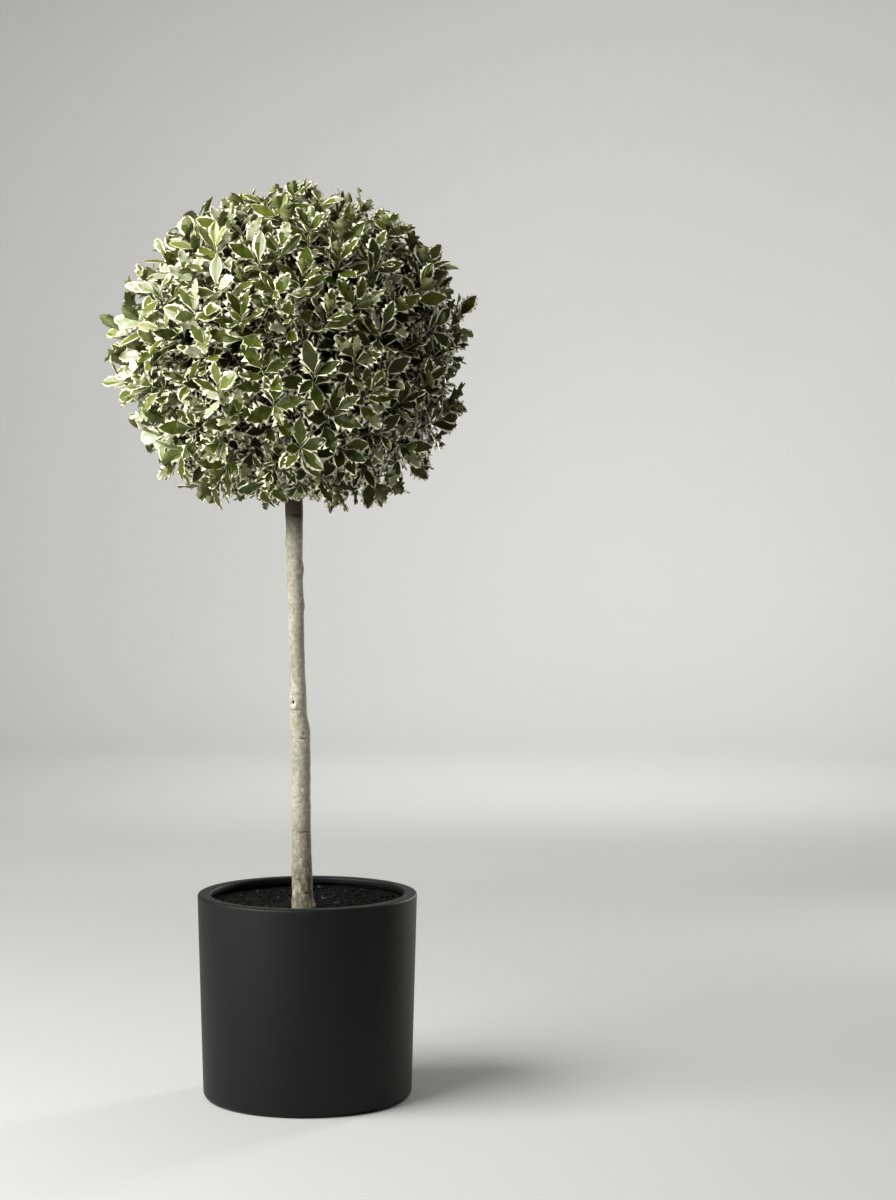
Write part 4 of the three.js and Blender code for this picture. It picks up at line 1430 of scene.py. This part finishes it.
            # A leaf's kind paints light and shade; pale leaves on lit sprays are painted sheen
            kind = spray_kind if chance.random() < self.kind_steadiness else self.choose_kind(tip, layer)
            if young_tip and age < self.young_age:
                kind = "young"
            elif kind in ("fresh", "sunny") and chance.random() < self.painted_sheen_share:
                kind = "pale"
            spininess = self.kind_spininess.get(kind, 1.0)
            width *= smooth_width + spiny_more * spininess
            shape = spininess * (shared * spray_shape + own * chance.random()) ** lean
            blank = int(len(LEAF_SHAPES) * min(0.999, shape))
            foliage.add_leaf(blank, seat, along, face, length, width, kind)

    def turned_to_light(self, face, along, outward):
        """A leaf's stalk turns its upper side towards the open and to the side that light comes from."""
        right, back, up = self.light_side
        open_side = Vector((outward.x + right, outward.y + back, outward.z * self.light_rise + up))
        turned = face.lerp(open_side.normalized(), self.light_turning)
        turned -= along * turned.dot(along)
        return turned.normalized() if turned.length > self.least_turned else face

    def set_shade_leaves(self, foliage, tip, axis):
        """Sets a plain spray, deep in the head where a full one wouldn't show."""
        chance = self.chance
        across = crosswise(axis)
        for place in range(self.shade_leaf_count):
            bearing = turned_about(across, axis, GOLDEN_ANGLE * place + chance.uniform(0, 1))
            tilt = math.radians(chance.uniform(*self.shade_tilts))
            along = axis * math.cos(tilt) + bearing * math.sin(tilt)
            face = axis * math.sin(tilt) - bearing * math.cos(tilt)
            length = self.settings.leaf_length * chance.uniform(*self.shade_lengths)
            width = self.settings.leaf_width * chance.uniform(*self.shade_widths)
            seat = tip - axis * self.shade_spacing * place
            kind = chance.choice(self.shade_kinds)
            blank = len(LEAF_SHAPES) + place % PLAIN_SHAPES
            foliage.add_leaf(blank, seat, along, face, length, width, kind)


# The stage

class TOPIARY_OT_stage(bpy.types.Operator):
    """Pale floor that rises into a backdrop all round, soft light and the camera"""

    bl_idname = "topiary.stage"
    bl_label = "Stage"

    floor_sides = 96
    floor_radius = 6.2
    cove_radius = 2.6
    cove_steps = 16
    wall_height = 6.0
    sky_colour = (1.0, 0.99, 0.96)
    light_colour = (1.0, 0.99, 0.965)
    # Each light's name, place, aim, size and spread
    lights = [
        ("key", (-3.2, -1.9, 3.3), (0.0, 0.0, 1.2), (4.4, 4.0), 180),
        ("backdrop_light", (0.8, 4.0, 3.2), (0.8, 8.0, 0.4), (2.6, 1.6), 128),
        ("floor_light", (0.8, 3.4, 3.4), (0.8, 3.4, 0.0), (4.8, 1.4), 72),
        ("edge_light", (2.4, 2.6, 1.4), (0.0, 0.0, 0.5), (0.6, 1.7), 84),
    ]

    def execute(self, context):
        scene = context.scene
        settings = scene.topiary_stage
        self.lay_floor(settings.floor_colour)

        world = bpy.data.worlds.new("studio_sky")
        world.use_nodes = True
        background = world.node_tree.nodes["Background"].inputs
        background["Color"].default_value = rgba(self.sky_colour)
        background["Strength"].default_value = settings.sky
        scene.world = world
        scene.view_settings.view_transform = "Standard"

        powers = (settings.key_power, settings.backdrop_power, settings.floor_power, settings.edge_power)
        for light, power in zip(self.lights, powers):
            self.add_light(*light, power)
        self.add_camera(scene)
        return {"FINISHED"}

    def lay_floor(self, colour):
        floor = begin_piece(
            "studio_floor", bpy.ops.mesh.primitive_circle_add, vertices=self.floor_sides,
            radius=self.floor_radius, fill_type="NGON")
        select_where(floor, "EDGE", lambda one, other: True)
        radius, height = self.floor_radius, 0.0
        for step in range(1, self.cove_steps + 1):
            angle = math.pi / 2 * step / self.cove_steps
            next_radius = self.floor_radius + self.cove_radius * math.sin(angle)
            next_height = self.cove_radius * (1 - math.cos(angle))
            self.raise_rim(radius, next_radius, height, next_height)
            radius, height = next_radius, next_height
        self.raise_rim(radius, radius, height, self.wall_height)
        bpy.ops.object.mode_set(mode="OBJECT")
        floor.data.shade_smooth()
        floor.data.materials.append(floor_finish(colour))

    def raise_rim(self, radius, next_radius, height, next_height):
        bpy.ops.mesh.extrude_edges_move(TRANSFORM_OT_translate={"value": (0, 0, next_height - height)})
        widen(next_radius / radius, (0, 0, next_height))

    def add_light(self, name, place, aim, size, spread, power):
        deselect_all()
        bpy.ops.object.light_add(type="AREA", location=place)
        light = bpy.context.view_layer.objects.active
        light.name = name
        light.data.shape = "RECTANGLE"
        light.data.size, light.data.size_y = size
        light.data.energy = power
        light.data.spread = math.radians(spread)
        light.data.color = self.light_colour
        light.rotation_euler = (Vector(aim) - Vector(place)).to_track_quat("-Z", "Y").to_euler()

    def add_camera(self, scene):
        deselect_all()
        bpy.ops.object.camera_add(location=CAMERA_PLACE, rotation=(math.pi / 2 + CAMERA_PITCH, 0, 0))
        camera = bpy.context.view_layer.objects.active
        camera.name = "front_view"
        camera.data.lens = CAMERA_LENS
        camera.data.sensor_width = FILM_LONG_SIDE
        camera.data.shift_y = CAMERA_SHIFT
        scene.camera = camera


class TOPIARY_PT_panel(bpy.types.Panel):
    """Lists the steps that build the plant"""

    bl_idname = "TOPIARY_PT_panel"
    bl_label = "Topiary"
    bl_space_type = "VIEW_3D"
    bl_region_type = "UI"
    bl_category = "Topiary"

    def draw(self, context):
        for operator in OPERATORS:
            self.layout.operator(operator.bl_idname)


SETTINGS = {
    "topiary_planter": PlanterSettings,
    "topiary_mix": MixSettings,
    "topiary_stem": StemSettings,
    "topiary_foliage": FoliageSettings,
    "topiary_stage": StageSettings,
}
OPERATORS = [
    TOPIARY_OT_planter, TOPIARY_OT_mix, TOPIARY_OT_stem, TOPIARY_OT_boughs, TOPIARY_OT_foliage,
    TOPIARY_OT_stage,
]


def register():
    for settings in SETTINGS.values():
        bpy.utils.register_class(settings)
    for name, settings in SETTINGS.items():
        setattr(bpy.types.Scene, name, PointerProperty(type=settings))
    for operator in OPERATORS:
        bpy.utils.register_class(operator)
    bpy.utils.register_class(TOPIARY_PT_panel)


def unregister():
    bpy.utils.unregister_class(TOPIARY_PT_panel)
    for operator in reversed(OPERATORS):
        bpy.utils.unregister_class(operator)
    for name, settings in SETTINGS.items():
        delattr(bpy.types.Scene, name)
        bpy.utils.unregister_class(settings)


def main():
    register()
    bpy.ops.topiary.planter()
    bpy.ops.topiary.mix()
    bpy.ops.topiary.stem()
    bpy.ops.topiary.boughs()
    bpy.ops.topiary.foliage()
    bpy.ops.topiary.stage()


if __name__ == "__main__":
    main()
